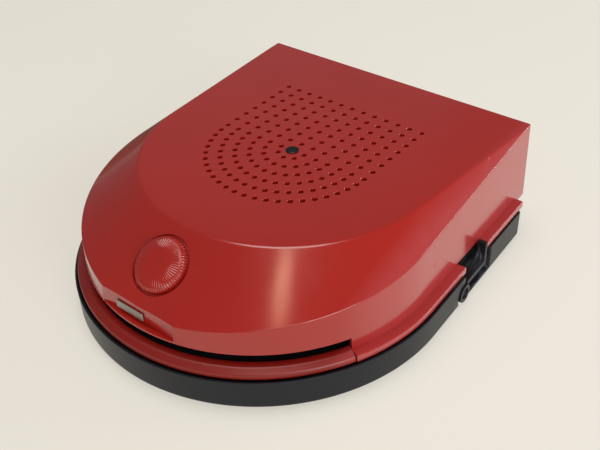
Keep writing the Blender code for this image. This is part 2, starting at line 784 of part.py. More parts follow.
def build_speaker():
    top = INSIDE_TOP - CLOTH - 2 * TOUCH
    step = SPEAKER_STEEL
    reach = SPEAKER_RADIUS
    neck = MAGNET_RADIUS * SPEAKER_NECK
    deep = top - (SPEAKER_DEPTH - MAGNET_DEPTH)
    piece(
        "grille_cloth",
        at(tube(reach, CLOTH_HOLE, INSIDE_TOP - TOUCH - CLOTH, INSIDE_TOP - TOUCH), 0, GRILLE_Y),
        "cloth",
    )
    frame = turned(
        [
            (reach - SPEAKER_RIM, top),
            (reach, top),
            (reach, top - step),
            (reach - SPEAKER_LEDGE, top - step),
            (reach - SPEAKER_FALL, top - 5 * step),
            (neck, deep - TOUCH),
            (SPEAKER_VENT, deep - TOUCH),
            (SPEAKER_VENT, deep + step - TOUCH),
            (neck - CONE_PAPER, deep + step - TOUCH),
            (reach - SPEAKER_FALL - step, top - 4.4 * step),
        ],
        ROUND,
    )
    piece("speaker_frame", at(frame, 0, GRILLE_Y), "zinc_steel")
    magnet = turned(
        [
            (0, deep - 2 * TOUCH),
            (MAGNET_RADIUS, deep - 2 * TOUCH),
            (MAGNET_RADIUS, top - SPEAKER_DEPTH),
            (0, top - SPEAKER_DEPTH),
        ]
    )
    piece("speaker_magnet", at(magnet, 0, GRILLE_Y), "ferrite")
    cone = turned(
        [
            (reach - CONE_MARGIN, top - TOUCH),
            (reach - CONE_MARGIN - CONE_FOLD, top - 2 * CONE_PAPER),
            (neck - 2.5 * CONE_PAPER, deep + CONE_FLOOR + CONE_PAPER),
            (0, deep + CONE_FLOOR + CONE_PAPER),
            (0, deep + CONE_FLOOR),
            (neck - 3.2 * CONE_PAPER, deep + CONE_FLOOR),
            (reach - CONE_MARGIN - CONE_FOLD - TOUCH, top - 3.2 * CONE_PAPER),
            (reach - CONE_MARGIN - SKIN, top - TOUCH - CONE_PAPER),
        ],
        ROUND,
    )
    piece("speaker_cone", at(cone, 0, GRILLE_Y), "paper_cone")


def build_trim():
    """The grille's rivet, and a blank badge in the flat of the front."""
    head = HEIGHT + RIVET_HEAD
    tail = INSIDE_TOP - RIVET_TAIL
    rivet = turned(
        [
            (0, head),
            (RIVET_RADIUS * SPEAKER_NECK, head),
            (RIVET_RADIUS, HEIGHT + TOUCH),
            (RIVET_STEM, HEIGHT + TOUCH),
            (RIVET_STEM, tail),
            (0, tail),
        ],
        SMALL,
    )
    piece("grille_rivet", at(rivet, 0, GRILLE_Y), "black_plastic")
    low_z = SLOT_TOP + BADGE_RISE
    badge = box(
        (BADGE_SHIFT - BADGE_HALF, PLATE_Y - TOUCH - BADGE_THICKNESS, low_z),
        (BADGE_SHIFT + BADGE_HALF, PLATE_Y - TOUCH, low_z + BADGE_HEIGHT),
    )
    piece("nameplate", badge, "aluminium")


def build_knob():
    place, axis = slope_frame()
    turn = Vector((0, 0, 1)).rotation_difference(axis).to_matrix().to_4x4()
    hinge = pivot("knob_axis", place, turn)
    floor = -WELL_DEPTH
    knob = turned(
        [
            (0, KNOB_CROWN),
            (KNOB_RADIUS / 2, KNOB_CROWN - KNOB_EDGE),
            (KNOB_RADIUS - 3.6 * KNOB_EDGE, KNOB_CROWN - 3 * KNOB_EDGE),
            (KNOB_RADIUS - KNOB_EDGE, KNOB_CROWN / 2),
            (KNOB_RADIUS, floor + KNOB_EDGE),
            (KNOB_SKIRT, floor + KNOB_EDGE),
            (KNOB_SKIRT, KNOB_CROWN / 4),
            (KNOB_SOCKET, KNOB_CROWN / 4),
            (KNOB_SOCKET, KNOB_CROWN - 2.4 * KNOB_EDGE),
            (0, KNOB_CROWN - 2.4 * KNOB_EDGE),
        ],
        FINE,
    )
    piece("volume_knob", knob, "red_gloss", hinge)
    piece("potentiometer_shaft", cylinder(SHAFT_RADIUS, SKIN, KNOB_CROWN - 3 * KNOB_EDGE, SMALL), "aluminium", hinge)
    neck = SKIN - TOUCH
    seat = -(WALL + POT_GAP)
    end = seat - POT_DEPTH
    pot = turned([(0, neck), (POT_NECK, neck), (POT_NECK, seat), (POT_RADIUS, seat), (POT_RADIUS, end), (0, end)])
    piece("volume_potentiometer", pot, "zinc_steel", hinge)
    nut = tube(NUT_RADIUS, NUT_BORE, floor + TOUCH, floor + TOUCH + NUT_HEIGHT, 6)
    piece("potentiometer_nut", nut, "zinc_steel", hinge)


# ---------------------------------------------------------------- turntable and drive


def chassis_posts():
    inset = CHASSIS_POST_INSET
    return [
        (side * (CHASSIS_HALF - inset), y)
        for side in (-1, 1)
        for y in (CHASSIS_FRONT + inset, CHASSIS_BACK - inset)
    ]


def board_posts():
    inset = BOARD_POST_INSET
    return [
        (side * (BOARD_HALF - inset), y) for side in (-1, 1) for y in (BOARD_FRONT + inset, BOARD_BACK - inset)
    ]


def build_turntable():
    spin = pivot("platter_axis", (0, ARC_Y, 0))
    wheel_low = CHASSIS_TOP + 2 * TOUCH + WHEEL_GAP
    wheel_top = wheel_low + WHEEL_THICKNESS
    platter_low = DECK_TOP + 2 * TOUCH
    platter_top = platter_low + PLATTER_THICKNESS
    mat_low = platter_top + TOUCH
    hub_low = platter_top + TOUCH
    bore = SPINDLE_RADIUS + TOUCH
    piece("turntable_spindle", cylinder(SPINDLE_RADIUS, FLOOR_TOP + SPINDLE_RISE, platter_top), "zinc_steel", spin)
    groove = BELT + TOUCH
    middle = (wheel_low + wheel_top) / 2
    wheel = turned(
        [
            (bore, wheel_top),
            (WHEEL_RADIUS, wheel_top),
            (WHEEL_RADIUS - groove, middle + BELT / 2 + TOUCH),
            (WHEEL_RADIUS - groove, middle - BELT / 2 - TOUCH),
            (WHEEL_RADIUS, wheel_low),
            (bore, wheel_low),
        ],
        FINE,
    )
    piece("drive_wheel", wheel, "ivory_plastic", spin)
    platter = turned(
        [
            (bore, platter_top),
            (PLATTER_RADIUS, platter_top),
            (PLATTER_RADIUS, platter_low),
            (PLATTER_HUB, platter_low),
            (PLATTER_HUB, wheel_top + TOUCH),
            (bore, wheel_top + TOUCH),
        ],
        FINE,
    )
    piece("platter", platter, "aluminium", spin)
    mat = tube(PLATTER_RADIUS - MAT_MARGIN, HUB_RADIUS + MAT_MARGIN / 2, mat_low, mat_low + MAT_THICKNESS, FINE)
    piece("platter_mat", mat, "black_rubber", spin)
    hub = turned(
        [
            (0, hub_low + HUB_HEIGHT),
            (HUB_RADIUS - HUB_SLOPE, hub_low + HUB_HEIGHT),
            (HUB_RADIUS, hub_low + HUB_EDGE),
            (HUB_RADIUS, hub_low),
            (0, hub_low),
        ]
    )
    piece("centre_hub", hub, "ivory_plastic", spin)
    flange_top = CHASSIS_TOP + TOUCH + BUSH_COLLAR
    bush = turned(
        [
            (SPINDLE_RADIUS + RUNNING, flange_top),
            (BUSH_FLANGE, flange_top),
            (BUSH_FLANGE, CHASSIS_TOP + TOUCH),
            (BUSH_RADIUS, CHASSIS_TOP + TOUCH),
            (BUSH_RADIUS, FLOOR_TOP + BUSH_RISE),
            (SPINDLE_RADIUS + RUNNING, FLOOR_TOP + BUSH_RISE),
        ]
    )
    piece("spindle_bush", at(bush, 0, ARC_Y), "brass")
    return wheel_low, wheel_top


def build_chassis():
    left = MOTOR_X - BRACKET_HALF - 2 * SKIN
    right = MOTOR_X + MOTOR_RADIUS + 4 * SKIN
    back = MOTOR_Y + BRACKET_HALF + SKIN
    plan = [
        (-CHASSIS_HALF, CHASSIS_FRONT),
        (CHASSIS_HALF, CHASSIS_FRONT),
        (CHASSIS_HALF, CHASSIS_BACK),
        (right, CHASSIS_BACK),
        (right, back),
        (left, back),
        (left, CHASSIS_BACK),
        (-CHASSIS_HALF, CHASSIS_BACK),
    ]
    chassis = piece("chassis_plate", prism(plan, CHASSIS_BOTTOM, CHASSIS_TOP), "zinc_steel")
    combine(chassis, at(cylinder(BUSH_RADIUS + TOUCH, FLOOR_TOP, DECK_TOP), 0, ARC_Y))


def build_drive(wheel_low, wheel_top):
    middle = (wheel_low + wheel_top) / 2
    shelf_low = wheel_top + BRACKET_GAP
    shelf_top = shelf_low + CHASSIS_THICKNESS
    reach = BRACKET_HALF
    bracket = piece(
        "motor_bracket",
        box((MOTOR_X - reach, MOTOR_Y - reach, shelf_low), (MOTOR_X + reach, MOTOR_Y + reach, shelf_top)),
        "zinc_steel",
    )
    leg_y = MOTOR_Y + reach
    leg = box((MOTOR_X - reach, leg_y - BRACKET_LEG, CHASSIS_TOP + TOUCH), (MOTOR_X + reach, leg_y, shelf_top))
    combine(bracket, leg, operation="UNION")
    combine(bracket, at(cylinder(BRACKET_HOLE, shelf_low - SKIN, shelf_top + SKIN, SMALL), MOTOR_X, MOTOR_Y))
    can_low = shelf_top + TOUCH
    can = turned(
        [
            (0, can_low + MOTOR_HEIGHT),
            (MOTOR_RADIUS - MOTOR_EDGE, can_low + MOTOR_HEIGHT),
            (MOTOR_RADIUS, can_low + MOTOR_HEIGHT - MOTOR_EDGE),
            (MOTOR_RADIUS, can_low),
            (0, can_low),
        ]
    )
    piece("motor", at(can, MOTOR_X, MOTOR_Y), "zinc_steel")
    spin = pivot("motor_axis", (MOTOR_X, MOTOR_Y, 0))
    piece("motor_shaft", cylinder(MOTOR_SHAFT, wheel_low - TOUCH, can_low - TOUCH, PIN_SIDES), "zinc_steel", spin)
    groove = BELT + TOUCH
    bore = MOTOR_SHAFT + TOUCH
    pulley = turned(
        [
            (bore, wheel_top),
            (PULLEY_RADIUS, wheel_top),
            (PULLEY_RADIUS - groove, middle + BELT / 2 + TOUCH),
            (PULLEY_RADIUS - groove, middle - BELT / 2 - TOUCH),
            (PULLEY_RADIUS, wheel_low),
            (bore, wheel_low),
        ],
        SMALL,
    )
    piece("motor_pulley", pulley, "brass", spin)
    build_belt(middle, (MOTOR_X, MOTOR_Y))


def belt_outline(radius_wheel, radius_pulley, pulley_place):
    """The loop round two wheels, with straight runs that touch both."""
    wheel = Vector((0, ARC_Y))
    small = Vector(pulley_place)
    span = (small - wheel).length
    heading = math.atan2(small.y - wheel.y, small.x - wheel.x)
    spread = math.acos((radius_wheel - radius_pulley) / span)
    points = []
    for i in range(WHEEL_BELT_STEPS + 1):
        angle = heading + spread + (2 * math.pi - 2 * spread) * i / WHEEL_BELT_STEPS
        points.append((wheel.x + radius_wheel * math.cos(angle), wheel.y + radius_wheel * math.sin(angle)))
    for i in range(PULLEY_BELT_STEPS + 1):
        angle = heading - spread + 2 * spread * i / PULLEY_BELT_STEPS
        points.append((small.x + radius_pulley * math.cos(angle), small.y + radius_pulley * math.sin(angle)))
    return points


def build_belt(middle, pulley_place):
    wheel_seat = WHEEL_RADIUS - BELT
    pulley_seat = PULLEY_RADIUS - BELT
    inner = belt_outline(wheel_seat, pulley_seat, pulley_place)
    outer = belt_outline(wheel_seat + BELT, pulley_seat + BELT, pulley_place)
    mesh = bmesh.new()
    rings = [
        [mesh.verts.new((x, y, z)) for x, y in points]
        for points, z in (
            (inner, middle - BELT / 2),
            (outer, middle - BELT / 2),
            (outer, middle + BELT / 2),
            (inner, middle + BELT / 2),
        )
    ]
    for first, second in zip(rings, rings[1:] + rings[:1]):
        for i in range(len(first)):
            j = (i + 1) % len(first)
            mesh.faces.new((first[i], first[j], second[j], second[i]))
    bmesh.ops.recalc_face_normals(mesh, faces=mesh.faces)
    piece("drive_belt", mesh, "black_rubber")


# ---------------------------------------------------------------- record handling


def build_ejector():
    """A pusher behind the record. Its rail runs in the deck's slot."""
    front = ARC_Y + EJECTOR_START
    back = EJECTOR_DEPTH
    seam = 2 * RUNNING
    slide = pivot("ejector_rail", (0, front, DECK_TOP))
    block = box((-EJECTOR_HALF, 0, EJECTOR_LOW), (EJECTOR_HALF, back, EJECTOR_HIGH))
    body = piece("ejector", block, "ivory_plastic", slide)
    depth = -(DECK_THICKNESS + SLIDING + RUNNING)
    combine_hung(body, box((-EJECTOR_STEM, 2 * seam, depth), (EJECTOR_STEM, back - 2 * seam, EJECTOR_LOW + SKIN)))
    combine_hung(body, box((-EJECTOR_FOOT, seam, depth - SKIN), (EJECTOR_FOOT, back - seam, depth + seam)))


def combine_hung(target, tool):
    """Joins a tool given in the target's own pivot frame."""
    bpy.context.view_layer.update()
    moved(tool, target.matrix_world)
    combine(target, tool, operation="UNION")


def build_clamp():
    """An arm hinged at the left side holds a free-turning disc over the hub."""
    rest = DECK_TOP + CLAMP_GAP + CLAMP_PAD
    post_x = -(RECORD_RADIUS + CLAMP_SETBACK)
    hinge_z = rest + CLAMP_SETBACK
    strip_low = hinge_z - CLAMP_STRIP / 2
    foot_z = DECK_TOP + TOUCH
    inner = CLAMP_EAR
    outer = inner + CLAMP_EAR_THICKNESS
    left, right, top = post_x - CLAMP_POST, post_x + CLAMP_POST, hinge_z + CLAMP_POST
    post = piece("clamp_post", box((left, ARC_Y - outer, foot_z), (right, ARC_Y - inner, top)), "zinc_steel")
    combine(post, box((left, ARC_Y + inner, foot_z), (right, ARC_Y + outer, top)), operation="UNION")
    foot = box((left, ARC_Y - outer, foot_z), (right, ARC_Y + outer, foot_z + CLAMP_PAD / 2))
    combine(post, foot, operation="UNION")
    drill = 2 * outer
    pin_hole = turned_to(cylinder(CLAMP_PIN + RUNNING, -drill, drill, PIN_SIDES), (0, 1, 0))
    combine(post, at(pin_hole, post_x, ARC_Y, hinge_z))

    hinge = pivot("clamp_axis", (post_x, ARC_Y, hinge_z))
    reach = -post_x
    half = CLAMP_ARM_HALF
    eye = turned_to(cylinder(CLAMP_EYE, -half - SKIN / 2, half + SKIN / 2, SMALL), (0, 1, 0))
    arm = piece("clamp_arm", eye, "zinc_steel", hinge)
    combine_hung(arm, box((0, -half, -CLAMP_STRIP / 2), (reach + half, half, CLAMP_STRIP / 2)))
    bpy.context.view_layer.update()
    bore = at(cylinder(CLAMP_STUD + RUNNING, -half, half, SMALL), reach, 0)
    combine(arm, moved(bore, arm.matrix_world))
    hole = turned_to(cylinder(CLAMP_PIN + TOUCH, -drill, drill, PIN_SIDES), (0, 1, 0))
    combine(arm, moved(hole, arm.matrix_world))
    end = outer + SKIN / 2
    piece("clamp_pin", turned_to(cylinder(CLAMP_PIN, -end, end, PIN_SIDES), (0, 1, 0)), "zinc_steel", hinge)

    spin = pivot("clamp_spin", (0, ARC_Y, strip_low))
    cap_top = CLAMP_STRIP + CLAMP_STUD_RISE + CLAMP_STRIP
    disc = turned(
        [
            (0, cap_top),
            (2 * CLAMP_STUD, cap_top),
            (2 * CLAMP_STUD, cap_top - CLAMP_STRIP),
            (CLAMP_STUD, cap_top - CLAMP_STRIP),
            (CLAMP_STUD, -TOUCH),
            (CLAMP_DISC, -TOUCH),
            (CLAMP_DISC, -CLAMP_PAD),
            (0, -CLAMP_PAD),
        ]
    )
    piece("clamp_disc", disc, "grey_plastic", spin)


def build_tonearm():
    """A post, a turning yoke, and an arm tipping on the yoke's pin."""
    place = Vector((ARM_X, ARC_Y + ARM_FORWARD, 0))
    level = DECK_TOP + ARM_HEIGHT + ARM_LIFT
    base_top = level - ARM_POST_RADIUS
    post = tube(ARM_POST_RADIUS, ARM_STEM + RUNNING, DECK_TOP + TOUCH, base_top)
    piece("tonearm_post", at(post, place.x, place.y), "black_plastic")
    yaw = pivot("tonearm_axis", (place.x, place.y, level), Matrix.Rotation(ARM_REST, 4, "Z"))
    low = base_top + TOUCH - level
    half = YOKE_HALF
    floor = box((-YOKE_LENGTH, -half, low), (YOKE_LENGTH, half, low + YOKE_THICKNESS))
    yoke = piece("tonearm_yoke", floor, "grey_plastic", yaw)
    for side in (-1, 1):
        faces = sorted((side * half, side * (half - YOKE_THICKNESS)))
        combine_hung(yoke, box((-ARM_HALF, faces[0], low), (ARM_HALF, faces[1], YOKE_TOP)))
    combine_hung(yoke, cylinder(ARM_STEM, DECK_TOP + TOUCH - level, low + YOKE_THICKNESS / 2, SMALL))
    end = half - YOKE_THICKNESS - TOUCH
    piece("tonearm_pin", turned_to(cylinder(ARM_PIN, -end, end, PIN_SIDES), (0, 1, 0)), "zinc_steel", yaw)

    nose, tail = ARM_LENGTH, -ARM_TAIL
    neck = nose - HEADSHELL
    body = box((tail, -ARM_HALF, -ARM_LOW), (neck + SKIN, ARM_HALF, ARM_HIGH))
    arm = piece("tonearm", body, "grey_plastic", yaw)
    combine_hung(arm, box((neck, -HEADSHELL_HALF, -ARM_LOW), (nose + ARM_LIFT, HEADSHELL_HALF, ARM_HIGH)))
    bpy.context.view_layer.update()
    eye = turned_to(cylinder(ARM_PIN + TOUCH, tail, ARM_TAIL, PIN_SIDES), (0, 1, 0))
    combine(arm, moved(eye, arm.matrix_world))
    under = -ARM_LOW - TOUCH
    weight = box((tail, -WEIGHT_HALF, -ARM_LOW - WEIGHT_DEPTH), (-ARM_TAIL / 2, WEIGHT_HALF, under))
    piece("counterweight", weight, "ferrite", yaw)
    sole = -ARM_LOW - CARTRIDGE_DEPTH
    cartridge = box((neck + ARM_LIFT, -CARTRIDGE_HALF, sole), (nose + ARM_HALF, CARTRIDGE_HALF, under))
    piece("cartridge", cartridge, "ivory_plastic", yaw)
    point = sole - STYLUS_DEPTH
    stylus = turned([(0, sole - TOUCH), (STYLUS_ROOT, sole - TOUCH), (TOUCH, point), (0, point)], STYLUS_SIDES)
    piece("stylus", at(stylus, nose, 0), "black_plastic", yaw)


# ---------------------------------------------------------------- lever


def build_lever():
    corner, turn = lever_frame()
    hinge = pivot("lever_axis", corner, turn)
    outer = -LEVER_INSET
    inner = outer - LEVER_WIDTH
    bore = LEVER_PIN + TOUCH
    face = outer + 4 * LEVER_INSET
    seat = outer - SKIN
    root = inner - 7 * LEVER_INSET
    rim = [(bore, root), (LEVER_BOSS, root), (LEVER_BOSS, face), (BOSS_DISH, face), (BOSS_DISH, seat), (bore, seat)]
    lever = piece("eject_lever", turned_to(turned(rim), (1, 0, 0)), "black_plastic", hinge)
    top = LEVER_TOP - LEVER_RISE
    tab_y = LEVER_ARM - TAB_THICKNESS
    combine_hung(lever, box((inner, LEVER_BOSS * BAR_START, top - LEVER_BAR), (outer, LEVER_ARM, top)))
    combine_hung(lever, box((inner, tab_y, top - LEVER_BAR), (outer, LEVER_ARM, top + TAB_HEIGHT)))
    length, height, thickness = LEVER_WEB
    web = prism([(0, 0), (length, 0), (0, height)], -thickness / 2, thickness / 2)
    moved(web, Matrix(((0, 0, 1, 0), (-1, 0, 0, 0), (0, 1, 0, 0), (0, 0, 0, 1))))
    sunk = 2 * LEVER_INSET
    at(web, inner + (thickness + LEVER_INSET) / 2, tab_y + sunk, top - sunk)
    combine_hung(lever, web)
    head = outer - LEVER_INSET
    neck = head - SKIN / 2
    pin = turned(
        [
            (0, head),
            (LEVER_PIN_HEAD, head),
            (LEVER_PIN_HEAD, neck),
            (LEVER_PIN, neck),
            (LEVER_PIN, -LEVER_PIN_END),
            (0, -LEVER_PIN_END),
        ],
        SMALL,
    )
    piece("lever_pin", turned_to(pin, (1, 0, 0)), "zinc_steel", hinge)
    eye = LEVER_PIN + CRANK_EYE
    far = LEVER_INSET - LEVER_PIN_END
    near = far + CRANK_THICKNESS
    crank = turned_to(tube(eye, bore, far, near, SMALL), (1, 0, 0))
    arm = piece("lever_crank", crank, "zinc_steel", hinge)
    combine_hung(arm, box((far, eye - sunk, -CRANK_HALF), (near, CRANK_LENGTH, CRANK_HALF)))


# ---------------------------------------------------------------- electrics and power


def build_board():
    piece(
        "circuit_board",
        box((-BOARD_HALF, BOARD_FRONT, BOARD_BOTTOM), (BOARD_HALF, BOARD_BACK, BOARD_BOTTOM + BOARD_THICKNESS)),
        "circuit_board",
    )
    top = BOARD_BOTTOM + BOARD_THICKNESS + TOUCH
    middle = (BOARD_FRONT + BOARD_BACK) / 2
    x_half, y_half, height = TRANSFORMER
    for name, x in (("driver_transformer", DRIVER_X), ("output_transformer", OUTPUT_X)):
        core = piece(
            name,
            box((x - x_half, middle - y_half, top), (x + x_half, middle + y_half, top + height)),
            "zinc_steel",
        )
        x_coil, y_coil, low_coil, high_coil = TRANSFORMER_COIL
        low = (x - x_coil, middle - y_coil, top + low_coil)
        combine(core, box(low, (x + x_coil, middle + y_coil, top + high_coil)), operation="UNION")
    can, flange, height, step = TRANSISTOR
    profile = [(0, height), (can, height), (can, step), (flange, step), (flange, 0), (0, 0)]
    for name, x in (("output_transistor_left", LEFT_TRANSISTOR_X), ("output_transistor_right", RIGHT_TRANSISTOR_X)):
        piece(name, at(turned(profile, SMALL), x, middle, top), "aluminium")
    radius, half, bevel = CAPACITOR
    profile = [(0, half), (radius - bevel, half), (radius, half - bevel), (radius, -half), (0, -half)]
    can = turned_to(turned(profile, SMALL), (0, 1, 0))
    piece("filter_capacitor", at(can, CAPACITOR_X, middle, top + radius), "aluminium")


def build_power():
    back = BACK_Y - WALL - SLIDING
    low = (BOX_LEFT, back - BOX_DEPTH, FLOOR_TOP + TOUCH)
    high = (BOX_RIGHT, back, INSIDE_TOP - BOX_DROP)
    tray = piece("battery_box", box(low, high), "black_plastic")
    left, right = low[0] + BOX_WALL, high[0] - BOX_WALL
    combine(tray, box((left, low[1] + BOX_WALL, low[2] + BOX_WALL), (right, back + WALL, high[2] - BOX_WALL)))
    z = (low[2] + high[2]) / 2
    y = (low[1] + high[1]) / 2
    near, far = left + TOUCH, right - TOUCH
    for name, start in (("battery_contact_left", near), ("battery_contact_right", far - CONTACT_THICKNESS)):
        foot = (start, y - CONTACT_HALF, z - CONTACT_RISE)
        plate = box(foot, (start + CONTACT_THICKNESS, y + CONTACT_HALF, z + CONTACT_RISE))
        piece(name, plate, "brass")

    (x_low, z_low), (x_high, z_high) = door_opening()
    axis_y = BACK_Y - TOUCH - DOOR_THICKNESS / 2
    hinge = pivot("door_axis", (0, axis_y, z_low + SLIDING + DOOR_THICKNESS / 2))
    half = DOOR_THICKNESS / 2
    rise = z_high - z_low - 2 * SLIDING - half
    door = box((x_low + SLIDING, -half, -half), (x_high - SLIDING, half, rise))
    piece("battery_door", door, "red_gloss", hinge)

    seat = -(WALL + TOUCH)
    socket = turned(
        [
            (SOCKET_BORE, 0),
            (SOCKET_RADIUS, 0),
            (SOCKET_RADIUS, seat),
            (SOCKET_FLANGE, seat),
            (SOCKET_FLANGE, seat - SKIN),
            (SOCKET_RADIUS, seat - SKIN),
            (SOCKET_RADIUS, -SOCKET_DEPTH),
            (0, -SOCKET_DEPTH),
            (0, 2 * SKIN - SOCKET_DEPTH),
            (SOCKET_BORE, 2 * SKIN - SOCKET_DEPTH),
        ],
        SMALL,
    )
    turned_to(socket, (0, 1, 0))
    piece("dc_socket", at(socket, SOCKET_X, BACK_Y - TOUCH, SOCKET_Z), "black_plastic")


def build_fixings():
    seat = SCREW_SEAT - TOUCH
    for row, place, reach in (("front", FRONT_SCREW, FRONT_SCREW_REACH), ("rear", REAR_SCREW, REAR_SCREW_REACH)):
        tip = FLANGE_BOTTOM + reach
        for x, y in mirrored_x(place):
            side = "right" if x > 0 else "left"
            screw = turned(
                [
                    (0, tip),
                    (SCREW_RADIUS, tip - SCREW_TIP),
                    (SCREW_RADIUS, seat),
                    (SCREW_HEAD, seat),
                    (SCREW_HEAD, seat - SCREW_HEAD_HEIGHT),
                    (0, seat - SCREW_HEAD_HEIGHT),
                ],
                PIN_SIDES,
            )
            piece(f"case_screw_{row}_{side}", at(screw, x, y), "zinc_steel")
    rows = {"front": (FRONT_FOOT[0], ARC_Y - FRONT_FOOT[1]), "rear": (REAR_FOOT[0], BACK_Y - REAR_FOOT[1])}
    for row, (x, y) in rows.items():
        for sign, side in ((1, "right"), (-1, "left")):
            foot = turned(
                [
                    (0, FOOT_HEIGHT - TOUCH),
                    (FOOT_RADIUS, FOOT_HEIGHT - TOUCH),
                    (FOOT_RADIUS, FOOT_EDGE),
                    (FOOT_RADIUS - FOOT_EDGE, 0),
                    (0, 0),
                ]
            )
            piece(f"foot_{row}_{side}", at(foot, sign * x, y), "black_rubber")


def main():
    for old in list(bpy.data.objects):
        bpy.data.objects.remove(old)
    build_cover()
    build_base()
    build_lip()
    build_deck()
    build_speaker()
    build_trim()
    build_knob()
    wheel_low, wheel_top = build_turntable()
    build_chassis()
    build_drive(wheel_low, wheel_top)
    build_ejector()
    build_clamp()
    build_tonearm()
    build_lever()
    build_board()
    build_power()
    build_fixings()


main()
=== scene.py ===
"""Looks of a slot-loading portable record player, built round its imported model.

Metres, +Z up, the record slot to -Y. Every finished piece sits at the origin with its place in its mesh.
"""

import json
import math

import bmesh
import bpy
from mathutils import Matrix, Vector


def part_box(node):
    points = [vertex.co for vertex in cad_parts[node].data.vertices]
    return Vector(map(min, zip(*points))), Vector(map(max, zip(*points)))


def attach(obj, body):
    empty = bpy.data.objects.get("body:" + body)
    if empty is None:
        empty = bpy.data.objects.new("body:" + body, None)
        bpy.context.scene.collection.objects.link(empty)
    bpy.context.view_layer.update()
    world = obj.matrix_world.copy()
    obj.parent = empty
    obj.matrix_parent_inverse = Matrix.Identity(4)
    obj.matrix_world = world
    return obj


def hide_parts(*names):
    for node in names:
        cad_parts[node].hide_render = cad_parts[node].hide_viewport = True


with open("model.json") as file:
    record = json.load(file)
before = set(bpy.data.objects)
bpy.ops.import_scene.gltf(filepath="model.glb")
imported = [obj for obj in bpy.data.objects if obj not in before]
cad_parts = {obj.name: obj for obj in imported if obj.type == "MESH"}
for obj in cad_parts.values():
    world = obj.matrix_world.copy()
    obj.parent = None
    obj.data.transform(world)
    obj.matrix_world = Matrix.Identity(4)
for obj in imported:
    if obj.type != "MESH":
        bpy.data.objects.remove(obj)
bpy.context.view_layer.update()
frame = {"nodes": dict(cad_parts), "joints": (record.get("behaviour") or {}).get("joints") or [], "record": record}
JOINTS = {joint["name"]: joint for joint in frame["joints"]}


def middle(node):
    low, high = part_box(node)
    return (low + high) / 2


# Places and levels read from the model
COVER_LOW, COVER_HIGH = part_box("top_cover")
BASE_LOW, BASE_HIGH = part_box("base_shell")
LIP_LOW, LIP_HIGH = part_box("front_lip")
BACK_Y = COVER_HIGH.y
HEIGHT = COVER_HIGH.z
ARC_Y = middle("platter").y
GRILLE_Y = middle("grille_rivet").y
BASE_RADIUS = ARC_Y - BASE_LOW.y
FLANGE_BOTTOM = COVER_LOW.z
LIP_TOP = LIP_HIGH.z

# Case outline
BASE_BACK_HALF = 0.1004
FLANGE_RADIUS = BASE_RADIUS - 0.0016
FLANGE_BACK_HALF = 0.0996
WALL_RADIUS = 0.1004
WALL_BACK_HALF = 0.0943
CREASE_RADIUS = 0.0990
CREASE_BACK_HALF = 0.0930
TOP_RADIUS = 0.0850
WALL = 0.0025
FLANGE_TOP = FLANGE_BOTTOM + 0.0042
FLANGE_END = 0.0130
BASE_STEP = 0.0162
BASE_TAIL_HALF = 0.0895
SLOT_HALF = 0.0904
SLOT_TOP = LIP_TOP + 0.0054
CREASE_FRONT = SLOT_TOP + 0.0084
FLOOR_TOP = BASE_LOW.z + 0.0025
TOUCH = 0.0003
SEAM = 0.0006

# Tolerances for joining points
WELD = 1e-6
FLAT = 1e-7

# Softened edges
BACK_CORNER = 0.0009
TRAY_CORNER = 0.0020
ROOM_CORNER = 0.0010
TRAY_INSET = 0.0200
TOP_INSET = 0.0040
FLANGE_DEPTH = 0.0070
FLANGE_EDGE = 0.0007
TAIL_EDGE = 0.0006
SOFT_TOP = 0.0011
SOFT_CREASE = 0.0006
SOFT_EDGE = 0.0004
SOFT_BASE = 0.0022

# Steps along the outline
BACK_STEPS = 10
CORNER_STEPS = 5
SIDE_STEPS = 16
ARC_STEPS = 150
FLANGE_STEPS = 40

# Grille, knob and nameplate
PITCH = 0.0080
HOLE_RADIUS = 0.0015
GRILLE_ROWS = 7
GRILLE_RINGS = 6
KNOB_RADIUS = 0.0148
HOLE_EDGE = 0.00025
HOLE_SIDES = 20
RIVET_STEM = 0.0019
RIVET_EDGE = 0.0006
KNOB_RIBS = 60
RIB_STEPS = 8
RIB_DEPTH = 0.00028
RIB_START = 0.0058
RIB_FADE = 0.0070
KNOB_UNDER = -0.0008
KNOB_SOCKET = [(0.0076, KNOB_UNDER), (0.0076, 0.0013), (0.0028, 0.0013), (0.0028, 0.0040), (0, 0.0040)]
SHAFT_HOLE = 0.0037
WELL_RADIUS = KNOB_RADIUS + 0.0011
WELL_EDGE = 0.0003
WELL_DEPTH = 0.0013
WELL_SIDES = 96
PLATE_HALF = 0.0240
PLATE_Y = ARC_Y - CREASE_RADIUS + 0.0031
PLATE_LEDGE = 0.0013
BADGE_EDGE = 0.00025

# Lip
LIP_SEAM = 0.0020
LIP_CROWN = 0.0018
LIP_INSET = 0.0004
LIP_FALL = 0.0022
LIP_EDGE = 0.0009

# Lever, on its own axis: +X square to the case's side, +Y along the arm
LEVER_HEIGHT = JOINTS["lever_swing"]["pos_m"][2]
LEVER_OUTER = -0.0002
LEVER_INNER = LEVER_OUTER - 0.0050
LEVER_ARM = 0.0256
LEVER_BAR = 0.0028
LEVER_TOP = 0.0061
LEVER_EDGE = 0.00035
BAR_START = 0.62
BOSS_RADIUS = 0.0054
BOSS_EDGE = 0.0004
TAB_THICKNESS = 0.0024
TAB_HEIGHT = 0.0124
WEB_RUN = (0.0020, 0.0090)
WEB_RISE = 0.0075
WEB_SPAN = (0.0001, 0.0017)
PIN_RADIUS = 0.0015
PIN_HEAD = 0.0027
PIN_END = -0.0135
LEVER_REACH = 0.0280
NOTCH_LOW = (-0.0300, 0.0022, FLANGE_BOTTOM - LEVER_HEIGHT - WALL)
NOTCH_HIGH = (0.0100, LEVER_REACH, FLANGE_TOP - LEVER_HEIGHT)
POCKET_DEPTH = -0.0080
